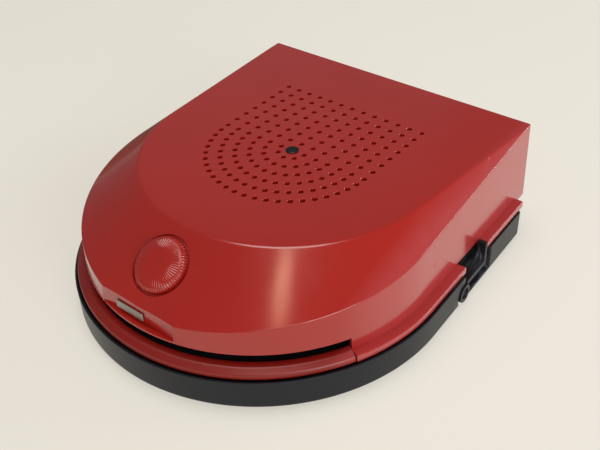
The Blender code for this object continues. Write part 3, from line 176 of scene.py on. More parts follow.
POCKET_RADIUS = 0.0073
AXLE_HOLE = 0.00156
CHANNEL_MARGIN = 0.0016
POCKET_BLOCK = (0.0110, 0.0100, 0.0010, 0.0045)

# Screws, feet, battery door and power socket
SCREWS = [f"case_screw_{row}_{side}" for row in ("front", "rear") for side in ("left", "right")]
FEET = [f"foot_{row}_{side}" for row in ("front", "rear") for side in ("left", "right")]
POST_RADIUS = 0.0048
PILOT_RADIUS = 0.0014
SCREW_WELL = 0.0035
SCREW_SEAT = FLOOR_TOP + 0.0020
SCREW_RADIUS = 0.0011
SCREW_HEAD = 0.0032
SCREW_RISE = 0.0016
SCREW_LENGTH = 0.0180
RECESS = (0.0018, 0.0003, 0.0010, 0.0008)
FOOT_EDGE = 0.0003
DOOR_DROP = 0.0001
SCOOP_RADIUS = 0.0110
SCOOP_LENGTH = 0.0300
SCOOP_OUT = 0.0102
SCOOP_DROP = 0.0060
RIB_HALF = 0.0090
RIB_PITCH = 0.0011
RIB_DROP = 0.0085
SOCKET_HOLE = 0.0042
SOCKET_RADIUS = 0.0039
SOCKET_FLANGE = 0.0058
SOCKET_BORE = 0.0017
SOCKET_END = -0.0100
SOCKET_EDGE = 0.0002
SPRING_LEVEL = 0.0110
SPRING = {"turns": 5, "low_radius": 0.0045, "high_radius": 0.0022, "height": 0.0070, "wire": 0.00035}

# Camera
CAMERA_PLACE = (0.26347, -0.29364, 0.32369)
CAMERA_AIM = (0.04569, -0.03434, 0.0669)
CAMERA_ROLL = -2.49
CAMERA_LENS = 52.26
CAMERA_SENSOR = 36.0


# ---------------------------------------------------------------- mesh tools


def link(name, data):
    made = bpy.data.objects.new(name, data)
    bpy.context.scene.collection.objects.link(made)
    return made


def keep(name, mesh, smooth=35):
    """A new object from a bmesh, at the origin."""
    data = bpy.data.meshes.new(name)
    mesh.to_mesh(data)
    mesh.free()
    made = link(name, data)
    shade(made, smooth)
    return made


def shade(piece, angle=35):
    piece.data.shade_smooth()
    piece.data.set_sharp_from_angle(angle=math.radians(angle))


def settle(piece):
    """Turns what the modifiers make into the object's own plain mesh."""
    bpy.context.view_layer.update()
    evaluated = piece.evaluated_get(bpy.context.evaluated_depsgraph_get())
    result = bpy.data.meshes.new_from_object(evaluated)
    old = piece.data
    piece.modifiers.clear()
    piece.data = result
    bpy.data.meshes.remove(old)
    return piece


def combine(target, *tools, operation="DIFFERENCE"):
    """Cuts other objects out of the target, or joins them to it, and removes them."""
    for tool in tools:
        step = target.modifiers.new("step", "BOOLEAN")
        step.operation = operation
        step.solver = "EXACT"
        step.object = tool
        settle(target)
        weld(target)
        bpy.data.objects.remove(tool)
    return target


def weld(piece):
    """Leaves only triangles, which the next cut can't find bent."""
    mesh = bmesh.new()
    mesh.from_mesh(piece.data)
    bmesh.ops.remove_doubles(mesh, verts=mesh.verts, dist=WELD)
    bmesh.ops.dissolve_degenerate(mesh, edges=mesh.edges, dist=FLAT)
    bmesh.ops.triangulate(mesh, faces=mesh.faces)
    mesh.to_mesh(piece.data)
    mesh.free()


def soften(piece, width, segments=3, angle=35):
    """Rounds the hard edges, then keeps the flat faces flat in the shading."""
    bevel = piece.modifiers.new("edges", "BEVEL")
    bevel.width = width
    bevel.segments = segments
    bevel.limit_method = "ANGLE"
    bevel.angle_limit = math.radians(angle)
    settle(piece)
    return flatten(piece)


def flatten(piece, angle=35):
    shade(piece, angle)
    weighted = piece.modifiers.new("normals", "WEIGHTED_NORMAL")
    weighted.keep_sharp = True
    return settle(piece)


def loft(rings, closed=True, caps=True):
    """A solid through rings of equally many points. Closed rings go all the way round."""
    mesh = bmesh.new()
    loops = [[mesh.verts.new(point) for point in ring] for ring in rings]
    count = len(loops[0])
    for low, high in zip(loops, loops[1:]):
        for i in range(count if closed else count - 1):
            j = (i + 1) % count
            mesh.faces.new((low[i], low[j], high[j], high[i]))
    if caps:
        mesh.faces.new(loops[0])
        mesh.faces.new(list(reversed(loops[-1])))
    bmesh.ops.remove_doubles(mesh, verts=mesh.verts, dist=WELD)
    bmesh.ops.dissolve_degenerate(mesh, edges=mesh.edges, dist=WELD)
    bmesh.ops.recalc_face_normals(mesh, faces=mesh.faces)
    return mesh


def box(low, high):
    corners = [(low[0], low[1]), (high[0], low[1]), (high[0], high[1]), (low[0], high[1])]
    return loft([[(x, y, z) for x, y in corners] for z in (low[2], high[2])])


def turned(profile, steps=64):
    """A solid of revolution about Z. The profile of (radius, height) starts and ends on the axis, or is a loop."""
    rings = []
    for radius, height in profile:
        angles = (2 * math.pi * i / steps for i in range(steps))
        rings.append([(radius * math.cos(a), radius * math.sin(a), height) for a in angles])
    loop = profile[0][0] > 0
    if loop:
        rings.append(rings[0])
    return loft(rings, caps=False)


def rod(radius, top, bottom, steps):
    """A plain round bar along Z."""
    return turned([(0, top), (radius, top), (radius, bottom), (0, bottom)], steps)


def rounded(profile, softness, steps=4, loop=False):
    """A profile with its inner corners replaced by arcs."""
    points = [Vector(point) for point in profile]
    count = len(points)
    result = [] if loop else [tuple(points[0])]
    for i in range(0 if loop else 1, count if loop else count - 1):
        result += [tuple(p) for p in corner_arc(points[i - 1], points[i], points[(i + 1) % count], softness, steps)]
    if not loop:
        result.append(tuple(points[-1]))
    return result


def corner_arc(before, corner, after, softness, steps):
    """Points of a soft corner between two straight runs."""
    reach_in = min(softness, 0.45 * (before - corner).length)
    reach_out = min(softness, 0.45 * (after - corner).length)
    start = corner + (before - corner).normalized() * reach_in
    end = corner + (after - corner).normalized() * reach_out
    return [curve_point(start, corner, end, i / steps) for i in range(steps + 1)]


def curve_point(start, corner, end, share):
    return start * (1 - share) ** 2 + corner * (2 * share * (1 - share)) + end * share**2


def placed(mesh, matrix):
    bmesh.ops.transform(mesh, matrix=matrix, verts=mesh.verts)
    return mesh


def at(mesh, x, y, z=0.0):
    return placed(mesh, Matrix.Translation((x, y, z)))


def along(mesh, axis):
    """Turns a mesh built along Z onto another axis."""
    return placed(mesh, Vector((0, 0, 1)).rotation_difference(Vector(axis)).to_matrix().to_4x4())


# ---------------------------------------------------------------- repeated shapes by nodes


class Tree:
    """A Geometry Nodes group with named inputs, run once on a plain object."""

    def __init__(self, name):
        self.group = bpy.data.node_groups.new(name, "GeometryNodeTree")
        self.group.interface.new_socket("Geometry", in_out="INPUT", socket_type="NodeSocketGeometry")
        self.group.interface.new_socket("Geometry", in_out="OUTPUT", socket_type="NodeSocketGeometry")
        self.source = self.group.nodes.new("NodeGroupInput")
        self.values = {}

    def input(self, name, value):
        kind = {int: "NodeSocketInt", float: "NodeSocketFloat"}.get(type(value), "NodeSocketObject")
        socket = self.group.interface.new_socket(name, in_out="INPUT", socket_type=kind)
        self.values[socket.identifier] = value
        return self.source.outputs[name]

    def times(self, first, factor):
        return self.node("ShaderNodeMath", {"operation": "MULTIPLY"}, {0: first, 1: factor})

    def node(self, kind, settings, inputs, output=0):
        made = self.group.nodes.new(kind)
        for key, value in settings.items():
            setattr(made, key, value)
        for key, value in inputs.items():
            for part in value if isinstance(value, list) else [value]:
                if isinstance(part, bpy.types.NodeSocket):
                    self.group.links.new(part, made.inputs[key])
                else:
                    made.inputs[key].default_value = part
        return made.outputs[output]

    def run(self, name, geometry, finish):
        solid = self.node("GeometryNodeRealizeInstances", {}, {0: geometry})
        painted = self.node("GeometryNodeSetMaterial", {}, {"Geometry": solid, "Material": finish})
        end = self.group.nodes.new("NodeGroupOutput")
        self.group.links.new(painted, end.inputs[0])
        made = link(name, bpy.data.meshes.new(name))
        step = made.modifiers.new("nodes", "NODES")
        step.node_group = self.group
        for identifier, value in self.values.items():
            step[identifier] = value
        return settle(made)


def perforations(cutter, finish):
    """Rows of holes behind the rivet and half rings of holes in front of it, one pitch apart."""
    tree = Tree("perforations")
    pitch = tree.input("Pitch", PITCH)
    shape = tree.node("GeometryNodeObjectInfo", {}, {"Object": tree.input("Cutter", cutter)}, "Geometry")
    length = tree.times(pitch, 2.0 * GRILLE_RINGS)
    depth = tree.times(pitch, GRILLE_ROWS - 1.0)
    rows = tree.node(
        "GeometryNodeMeshGrid",
        {},
        {"Size X": length, "Size Y": depth, "Vertices X": 2 * GRILLE_RINGS + 1, "Vertices Y": GRILLE_ROWS},
    )
    shift = tree.times(pitch, (GRILLE_ROWS + 1) / 2)
    back = tree.node("ShaderNodeCombineXYZ", {}, {"Y": shift})
    groups = [tree.node("GeometryNodeTransform", {}, {"Geometry": rows, "Translation": back})]
    for ring in range(1, GRILLE_RINGS + 1):
        radius = tree.times(pitch, float(ring))
        half = tree.node(
            "GeometryNodeCurveArc",
            {"mode": "RADIUS"},
            {"Resolution": 4 * ring + 1, "Radius": radius, "Start Angle": math.pi, "Sweep Angle": math.pi},
        )
        groups.append(tree.node("GeometryNodeCurveToPoints", {"mode": "EVALUATED"}, {"Curve": half}))
    holes = [tree.node("GeometryNodeInstanceOnPoints", {}, {"Points": group, "Instance": shape}) for group in groups]
    joined = tree.node("GeometryNodeJoinGeometry", {}, {0: holes})
    centred = tree.node("GeometryNodeTransform", {}, {"Geometry": joined, "Translation": (0.0, GRILLE_Y, 0.0)})
    return tree.run("holes", centred, finish)


def copies(name, pattern, points, finish):
    """One shape set on each of a few points."""
    mesh = bmesh.new()
    for point in points:
        mesh.verts.new(point)
    anchor = keep("points", mesh)
    tree = Tree(name)
    shape = tree.node("GeometryNodeObjectInfo", {}, {"Object": tree.input("Pattern", pattern)}, "Geometry")
    spots = tree.node("GeometryNodeObjectInfo", {}, {"Object": tree.input("Points", anchor)}, "Geometry")
    set_out = tree.node("GeometryNodeInstanceOnPoints", {}, {"Points": spots, "Instance": shape})
    made = tree.run(name, set_out, finish)
    bpy.data.objects.remove(anchor)
    bpy.data.objects.remove(pattern)
    return made


def coil(name, finish, turns, low_radius, high_radius, height, wire):
    """A conical spring of round wire, standing along Z."""
    tree = Tree(name)
    line = tree.node(
        "GeometryNodeCurveSpiral",
        {},
        {
            "Resolution": tree.input("Steps per turn", 28),
            "Rotations": tree.input("Turns", float(turns)),
            "Start Radius": tree.input("Foot radius", low_radius),
            "End Radius": tree.input("Tip radius", high_radius),
            "Height": tree.input("Height", height),
        },
    )
    ring = tree.node(
        "GeometryNodeCurvePrimitiveCircle",
        {"mode": "RADIUS"},
        {"Resolution": 8, "Radius": tree.input("Wire", wire)},
    )
    thick = tree.node("GeometryNodeCurveToMesh", {}, {"Curve": line, "Profile Curve": ring, "Fill Caps": True})
    made = tree.run(name, thick, finish)
    shade(made, 60)
    return made


# ---------------------------------------------------------------- finishes


class Wire:
    """An output in a material's tree. Arithmetic on it adds Math nodes."""

    def __init__(self, finish, socket):
        self.finish = finish
        self.socket = socket

    def maths(self, operation, first, second=0.0):
        return self.finish.node("ShaderNodeMath", {"operation": operation}, {0: first, 1: second})

    def __add__(self, other):
        return self.maths("ADD", self, other)

    def __sub__(self, other):
        return self.maths("SUBTRACT", self, other)

    def __rsub__(self, other):
        return self.maths("SUBTRACT", other, self)

    def __mul__(self, other):
        return self.maths("MULTIPLY", self, other)

    def __truediv__(self, other):
        return self.maths("DIVIDE", self, other)

    __radd__ = __add__
    __rmul__ = __mul__

    def sine(self):
        return self.finish.node("ShaderNodeMath", {"operation": "SINE"}, {0: self})

    def over(self, level, softness):
        """0 below a level, 1 a little above it."""
        return self.finish.node(
            "ShaderNodeMapRange",
            {"clamp": True},
            {"Value": self, "From Min": level, "From Max": level + softness, "To Min": 0.0, "To Max": 1.0},
        )


class Finish:
    """A Principled material whose maps are written as expressions."""

    def __init__(self, name, **fixed):
        self.material = bpy.data.materials.new(name)
        self.material.use_nodes = True
        self.tree = self.material.node_tree
        self.shader = self.tree.nodes["Principled BSDF"]
        self.place = self.node("ShaderNodeTexCoord", {}, {}, "Object")
        for key, value in fixed.items():
            self.shader.inputs[key.replace("_", " ")].default_value = value

    def node(self, kind, settings, inputs, output=0):
        made = self.tree.nodes.new(kind)
        for key, value in settings.items():
            setattr(made, key, value)
        for key, value in inputs.items():
            self.feed(made.inputs[key], value)
        return Wire(self, made.outputs[output])

    def feed(self, socket, value):
        if isinstance(value, Wire):
            self.tree.links.new(value.socket, socket)
        else:
            socket.default_value = value

    def axis(self, name):
        return self.node("ShaderNodeSeparateXYZ", {}, {"Vector": self.place}, name)

    def noise(self, scale, detail=2.0, rough=0.5, place=None):
        return self.node(
            "ShaderNodeTexNoise",
            {},
            {"Vector": place or self.place, "Scale": scale, "Detail": detail, "Roughness": rough},
        )

    def stretched(self, scale, turn=0.0, centre=(0.0, 0.0, 0.0)):
        """The place with its own scale on each axis, after a turn about Z."""
        turned_place = self.node(
            "ShaderNodeMapping",
            {"vector_type": "POINT"},
            {"Vector": self.place, "Location": centre, "Rotation": (0.0, 0.0, math.radians(turn))},
        )
        return self.node("ShaderNodeMapping", {"vector_type": "POINT"}, {"Vector": turned_place, "Scale": scale})

    def blend(self, share, first, second):
        colours = [value if isinstance(value, Wire) else (*value, 1.0) for value in (first, second)]
        return self.node("ShaderNodeMix", {"data_type": "RGBA"}, {0: share, 6: colours[0], 7: colours[1]}, 2)

    def done(self, colour=None, roughness=None, metallic=None, height=None, depth=0.0001):
        for key, value in (("Base Color", colour), ("Roughness", roughness), ("Metallic", metallic)):
            if value is not None:
                self.feed(self.shader.inputs[key], value)
        if height is not None:
            bump = self.node("ShaderNodeBump", {}, {"Strength": 1.0, "Distance": depth, "Height": height})
            self.feed(self.shader.inputs["Normal"], bump)
        return self.material

    def scratches(self, seed_turns, level, scale=(14.0, 900.0, 60.0)):
        """Fine hairlines in a few directions, where a slow noise lets them show."""
        total = None
        for turn in seed_turns:
            line = self.noise(1.0, 1.0, 0.4, self.stretched(scale, turn)).over(level, 0.05)
            patch = self.noise(38.0, 1.0, 0.5, self.stretched((1.0, 1.0, 1.0), turn + 11.0)).over(0.56, 0.06)
            total = line * patch if total is None else total + line * patch
        return total


def red_styrene(name, painted_shade_scale, dullness, coat):
    """Moulded styrene with scuffs, a painted pink sheen on the right side and a colour scale that paints shade when
    below 1, more or less polished.
    """
    finish = Finish(name, IOR=1.5, Coat_Roughness=0.15)
    # The first argument scales both colours down. The lip's 0.62 paints shade into its colour.
    light = tuple(painted_shade_scale * part for part in (0.42, 0.0150, 0.0075))
    deep = tuple(painted_shade_scale * part for part in (0.37, 0.0120, 0.0060))
    slow = finish.noise(16.0, 3.0)
    cloud = finish.noise(90.0, 2.0)
    scuffs = finish.scratches((24.0, 71.0, 133.0), 0.73)
    rub = finish.noise(26.0, 4.0, 0.65).over(0.58, 0.2)
    specks = finish.noise(650.0, 1.0).over(0.79, 0.03)
    colour = finish.blend(slow, light, deep)
    colour = finish.blend(scuffs * 0.15 + specks * 0.2, colour, (0.55, 0.07, 0.05))
    # Painted sheen: on the right side (X above 0.086) the colour turns a paler pink, a painted reflection of the
    # bright floor in the wall.
    dust_and_sheen = finish.axis("X").over(0.086, 0.009) * (0.45 + 0.2 * cloud)
    colour = finish.blend(dust_and_sheen, colour, (0.46, 0.060, 0.060))
    roughness = dullness + 0.05 * cloud + 0.07 * rub + 0.14 * scuffs
    height = finish.noise(520.0, 1.0) * 0.30 + finish.noise(110.0, 2.0) * 1.0 - scuffs * 0.7
    finish.feed(finish.shader.inputs["Coat Weight"], coat * (1.0 - 0.8 * scuffs - 0.5 * rub))
    return finish.done(colour, roughness, height=height, depth=0.000030)


def black_styrene():
    finish = Finish("black_styrene", IOR=1.5, Specular_IOR_Level=0.32, Specular_Tint=(0.80, 0.88, 1.0, 1.0))
    slow = finish.noise(20.0, 3.0)
    grain = finish.noise(2600.0, 2.0)
    scuffs = finish.scratches((12.0, 98.0), 0.70)
    colour = finish.blend(slow, (0.0070, 0.0070, 0.0085), (0.0110, 0.0105, 0.0125))
    colour = finish.blend(scuffs * 0.4, colour, (0.09, 0.09, 0.10))
    roughness = 0.33 + 0.10 * slow + 0.10 * scuffs
    height = grain * 0.5 + finish.noise(300.0, 2.0) * 0.6 - scuffs * 0.5
    return finish.done(colour, roughness, height=height, depth=0.000016)


def foot_rubber():
    finish = Finish("foot_rubber", IOR=1.5)
    dust_and_sheen = finish.noise(160.0, 4.0, 0.6).over(0.48, 0.3)
    colour = finish.blend(dust_and_sheen * 0.6, (0.012, 0.012, 0.012), (0.050, 0.047, 0.043))
    height = finish.noise(1800.0, 3.0)
    return finish.done(colour, 0.62 + 0.2 * dust_and_sheen, height=height, depth=0.00004)


def nylon(name, light, dark):
    finish = Finish(name, IOR=1.5)
    slow = finish.noise(45.0, 3.0)
    height = finish.noise(1500.0, 2.0)
    return finish.done(finish.blend(slow, light, dark), 0.36 + 0.14 * slow, height=height, depth=0.00001)


def zinc_plate():
    finish = Finish("zinc_plate")
    cells = {"Vector": finish.place, "Scale": 260.0}
    crystals = finish.node("ShaderNodeTexVoronoi", {"feature": "F1"}, cells, "Color")
    tone = finish.node("ShaderNodeSeparateColor", {}, {"Color": crystals})
    brushed = finish.noise(1.0, 2.0, 0.6, finish.stretched((60.0, 1500.0, 60.0), 4.0))
    colour = finish.blend(tone, (0.50, 0.51, 0.53), (0.63, 0.62, 0.58))
    rough = 0.24 + 0.14 * brushed + 0.06 * tone
    return finish.done(colour, rough, 1.0, brushed, 0.000006)


def turned_metal(name, light, dark, rough):
    """Bright metal with fine turning marks round each level."""
    finish = Finish(name)
    marks = finish.noise(1.0, 2.0, 0.6, finish.stretched((90.0, 90.0, 5200.0)))
    slow = finish.noise(70.0, 3.0)
    return finish.done(finish.blend(slow, light, dark), rough + 0.16 * marks, 1.0, marks, 0.000008)


def ferrite():
    finish = Finish("ferrite")
    grains = finish.noise(1400.0, 4.0, 0.7)
    colour = finish.blend(grains, (0.030, 0.031, 0.034), (0.085, 0.083, 0.080))
    return finish.done(colour, 0.45 + 0.3 * grains, 0.35, grains, 0.00006)


def cone_paper():
    finish = Finish("cone_paper")
    middle_y = middle("speaker_cone").y
    centred = finish.stretched((1.0, 1.0, 1.0), 0.0, (0.0, -middle_y, 0.0))
    reach = finish.node("ShaderNodeVectorMath", {"operation": "LENGTH"}, {0: centred}, "Value")
    rings = (reach * 4200.0).sine()
    fibres = finish.noise(1100.0, 5.0, 0.75)
    colour = finish.blend(fibres, (0.016, 0.015, 0.014), (0.050, 0.047, 0.043))
    return finish.done(colour, 0.82, height=fibres + rings * 0.35, depth=0.00008)


def woven_cloth():
    finish = Finish("woven_cloth")
    thread = 2 * math.pi / 0.0009
    across = (finish.axis("X") * thread).sine()
    down = (finish.axis("Y") * thread).sine()
    weave = across * down * 0.5 + 0.5
    colour = finish.blend(weave, (0.003, 0.003, 0.003), (0.022, 0.021, 0.020))
    return finish.done(colour, 0.9, height=weave, depth=0.0002)


def phenolic_board():
    finish = Finish("phenolic_board")
    fibres = finish.noise(1.0, 4.0, 0.7, finish.stretched((300.0, 1400.0, 300.0), 30.0))
    colour = finish.blend(fibres, (0.20, 0.105, 0.030), (0.32, 0.185, 0.060))
    return finish.done(colour, 0.38 + 0.25 * fibres, height=fibres, depth=0.00003)


def badge_metal():
    finish = Finish("badge_metal")
    brushed = finish.noise(1.0, 2.0, 0.6, finish.stretched((30.0, 400.0, 3600.0)))
    tarnish = finish.noise(240.0, 4.0, 0.6)
    colour = finish.blend(tarnish, (0.46, 0.44, 0.40), (0.30, 0.27, 0.23))
    return finish.done(colour, 0.30 + 0.2 * brushed + 0.1 * tarnish, 0.9, brushed, 0.00001)


FINISHES = {
    "red_gloss": red_styrene("red_styrene", 1.0, 0.15, 0.5),
    "black_plastic": black_styrene(),
    "black_rubber": foot_rubber(),
    "grey_plastic": nylon("grey_nylon", (0.34, 0.34, 0.33), (0.27, 0.27, 0.27)),
    "ivory_plastic": nylon("ivory_nylon", (0.60, 0.56, 0.44), (0.52, 0.47, 0.35)),
    "zinc_steel": zinc_plate(),
    "brass": turned_metal("turned_brass", (0.74, 0.52, 0.22), (0.60, 0.40, 0.15), 0.22),
    "aluminium": turned_metal("turned_aluminium", (0.70, 0.70, 0.69), (0.58, 0.58, 0.58), 0.24),
    "ferrite": ferrite(),
    "paper_cone": cone_paper(),
    "speaker_cloth": woven_cloth(),
    "circuit_board": phenolic_board(),
}
# A darker, duller copy for the lip: its colour scale of 0.62 paints the shade that falls on it.
LIP_STYRENE = red_styrene("lip_styrene", 0.62, 0.34, 0.1)
BADGE = badge_metal()


def finished(piece, slot, body, *nodes, finish=None):
    """Paints a piece, hangs it on its body and lets it stand for its CAD nodes."""
    piece.data.materials.clear()
    piece.data.materials.append(finish or FINISHES[slot])
    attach(piece, body)
    if nodes:
        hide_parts(*nodes)
    return piece


# ---------------------------------------------------------------- case outline


def side_line(radius, back_half, centre_y):
    """Where a horseshoe's straight side leaves its front circle, and that place's angle."""
    reach = math.hypot(back_half, BACK_Y - centre_y)
    touch = math.atan2(BACK_Y - centre_y, back_half) - math.acos(radius / reach)
    return Vector((radius * math.cos(touch), centre_y + radius * math.sin(touch))), touch


def slot_share(radius=WALL_RADIUS, back_half=WALL_BACK_HALF):
    """How far round the front the slot starts, as a share of the arc."""
    touch = side_line(radius, back_half, ARC_Y)[1]
    return (touch + math.acos(SLOT_HALF / radius)) / (math.pi + 2 * touch)


def arc_shares():
    """Even steps round the front, with two at each end of the slot: (share, whether the slot is there)."""
    start = slot_share()
    shares = [(i / ARC_STEPS, start < i / ARC_STEPS < 1 - start) for i in range(ARC_STEPS + 1)]
    ends = [(start, False), (start, True), (1 - start, True), (1 - start, False)]
    before = [entry for entry in shares if entry[0] < start]
    inside = [entry for entry in shares if entry[1]]
    after = [entry for entry in shares if entry[0] > 1 - start]
    return before + ends[:2] + inside + ends[2:] + after


def open_plan(radius, back_half, centre_y, back_y, shares):
    """The right side, the front and the left side, seen from above."""
    tangent, touch = side_line(radius, back_half, centre_y)
    sweep = math.pi + 2 * touch
    corner = tangent + (Vector((back_half, BACK_Y)) - tangent) * ((back_y - tangent.y) / (BACK_Y - tangent.y))
    side = [corner.lerp(tangent, i / SIDE_STEPS) for i in range(SIDE_STEPS)]
    arc = []
    for share in shares:
        angle = touch - sweep * share
        arc.append(Vector((radius * math.cos(angle), centre_y + radius * math.sin(angle))))
    return side + arc + [Vector((-p.x, p.y)) for p in reversed(side)]


def closed_plan(radius, back_half, centre_y, back_y, shares, corner=BACK_CORNER):
    """A whole horseshoe with soft back corners, from the middle of its back towards +X."""
    path = open_plan(radius, back_half, centre_y, back_y, shares)
    square = path[0]
    bend = corner_arc(Vector((0, back_y)), square, path[1], corner, CORNER_STEPS)
    path[0] = bend[-1]
    right = [Vector((square.x - corner, back_y)) * (i / BACK_STEPS) for i in range(BACK_STEPS)]
    right = [Vector((p.x, back_y)) for p in right] + bend[:-1]
    left = [Vector((-p.x, p.y)) for p in reversed(right[1:])]
    path[-1] = Vector((-path[0].x, path[0].y))
    return right + path + left


def crease_levels(points):
    """The crease falls evenly from each back corner to the middle of the front."""
    lead = BACK_STEPS + CORNER_STEPS
    runs = [0.0]
    for a, b in zip(points[lead:], points[lead + 1 : len(points) - lead + 1]):
        runs.append(runs[-1] + (a - b).length)
    half = runs[-1] / 2
    levels = [HEIGHT] * lead + [HEIGHT - (HEIGHT - CREASE_FRONT) * min(run, runs[-1] - run) / half for run in runs]
    return levels + [HEIGHT] * (len(points) - len(levels))


def raised(points, level):
    return [Vector((p.x, p.y, level)) for p in points]


def edge_profile(inside, shoulder, crease, foot):
    """Points from the flat top over the shoulder and the crease, both softened, down towards the foot."""
    run = (shoulder - crease).length
    down = (foot - crease).normalized()
    if run > SOFT_CREASE:
        over = crease + (shoulder - crease).normalized() * SOFT_CREASE
        bend = min(SOFT_TOP, 0.9 * (run - SOFT_CREASE))
        start = shoulder + (inside - shoulder).normalized() * min(bend, 0.9 * (inside - shoulder).length)
        end = shoulder + (crease - shoulder).normalized() * bend
        upper = [curve_point(start, shoulder, end, i / 5) for i in range(6)]
    else:
        over = shoulder + (inside - shoulder).normalized() * (SOFT_CREASE - run)
        upper = [over] * 6
    lower = [curve_point(over, crease, crease + down * SOFT_CREASE, i / 5) for i in range(6)]
    return upper + lower


def on_line(start, end, level):
    """The point between two others at a level."""
    return start.lerp(end, (level - start.z) / (end.z - start.z))


def case_shell():
    """The cover's walls and top in one closed skin, with the record slot open at the front."""
    marks = arc_shares()
    shares = [share for share, _ in marks]
    lead = BACK_STEPS + CORNER_STEPS + SIDE_STEPS
    slotted = [False] * lead + [open_here for _, open_here in marks] + [False] * (lead - 1)
    inset = TOP_INSET
    inside = closed_plan(TOP_RADIUS - inset, CREASE_BACK_HALF - inset, GRILLE_Y, BACK_Y - inset, shares)
    inside = raised(inside, HEIGHT)
    shoulder = raised(closed_plan(TOP_RADIUS, CREASE_BACK_HALF, GRILLE_Y, BACK_Y, shares), HEIGHT)
    plan = closed_plan(CREASE_RADIUS, CREASE_BACK_HALF, ARC_Y, BACK_Y, shares)
    crease = [Vector((p.x, p.y, z)) for p, z in zip(plan, crease_levels(plan))]
    foot = raised(closed_plan(WALL_RADIUS, WALL_BACK_HALF, ARC_Y, BACK_Y, shares), FLANGE_BOTTOM)

    roof = closed_plan(TOP_RADIUS - WALL, CREASE_BACK_HALF - WALL, GRILLE_Y, BACK_Y - WALL, shares)
    under_plan = closed_plan(CREASE_RADIUS - WALL, CREASE_BACK_HALF - WALL, ARC_Y, BACK_Y - WALL, shares)
    under = [Vector((p.x, p.y, z - WALL)) for p, z in zip(under_plan, crease_levels(under_plan))]
    roof = raised(roof, HEIGHT - WALL)
    inner_foot = closed_plan(WALL_RADIUS - WALL, WALL_BACK_HALF - WALL, ARC_Y, BACK_Y - WALL, shares)
    inner_foot = raised(inner_foot, FLANGE_BOTTOM)

    columns = []
    for i, gap in enumerate(slotted):
        bottom = SLOT_TOP if gap else FLANGE_BOTTOM
        outer = on_line(crease[i], foot[i], bottom)
        inner = on_line(under[i], inner_foot[i], bottom)
        across = (inner - outer).normalized() * SOFT_EDGE
        lifted = on_line(crease[i], foot[i], bottom + SOFT_EDGE)
        column = [inside[i], *edge_profile(inside[i], shoulder[i], crease[i], foot[i])]
        column.append(on_line(crease[i], foot[i], SLOT_TOP + SOFT_EDGE))
        column += [curve_point(lifted, outer, outer + across, k / 3) for k in range(4)]
        column += [inner, on_line(under[i], inner_foot[i], SLOT_TOP), under[i], roof[i]]
        columns.append(column)
    rings = [list(ring) for ring in zip(*columns)]
    return keep("cover", loft(rings))


def flange(sign):
    """The ledge round one side of the cover, from the slot's end to just short of the back."""
    start = slot_share()
    shares = [start * i / FLANGE_STEPS for i in range(FLANGE_STEPS + 1)]
    rise = FLANGE_TOP - FLANGE_BOTTOM
    section = rounded([(-FLANGE_DEPTH, 0.0), (0.0, 0.0), (0.0, rise), (-FLANGE_DEPTH, rise)], FLANGE_EDGE, 5)
    rings = []
    for offset, level in section:
        path = open_plan(FLANGE_RADIUS + offset, FLANGE_BACK_HALF + offset, ARC_Y, BACK_Y - FLANGE_END, shares)
        half = path[: SIDE_STEPS + len(shares)]
        rings.append([Vector((sign * p.x, p.y, FLANGE_BOTTOM + level)) for p in half])
    rings.append(rings[0])
    return keep("flange", closed_strip(rings))


def closed_strip(rings):
    """A bent bar: its section runs through the rings, and its two ends are closed."""
    mesh = loft(rings, closed=False, caps=False)
    edges = [edge for edge in mesh.edges if edge.is_boundary]
    bmesh.ops.holes_fill(mesh, edges=edges, sides=0)
    bmesh.ops.recalc_face_normals(mesh, faces=mesh.faces)
    return mesh


def lever_stand():
    """The lever's axis on the base's side, with +X square to the side."""
    joint = JOINTS["lever_swing"]
    axis = Vector(joint["axis"])
    turn = Matrix.Rotation(math.atan2(axis.y, axis.x), 4, "Z")
    return Matrix.Translation(joint["pos_m"]) @ turn


def knob_stand():
    joint = JOINTS["volume_turn"]
    turn = Vector((0, 0, 1)).rotation_difference(Vector(joint["axis"])).to_matrix().to_4x4()
    return Matrix.Translation(joint["pos_m"]) @ turn


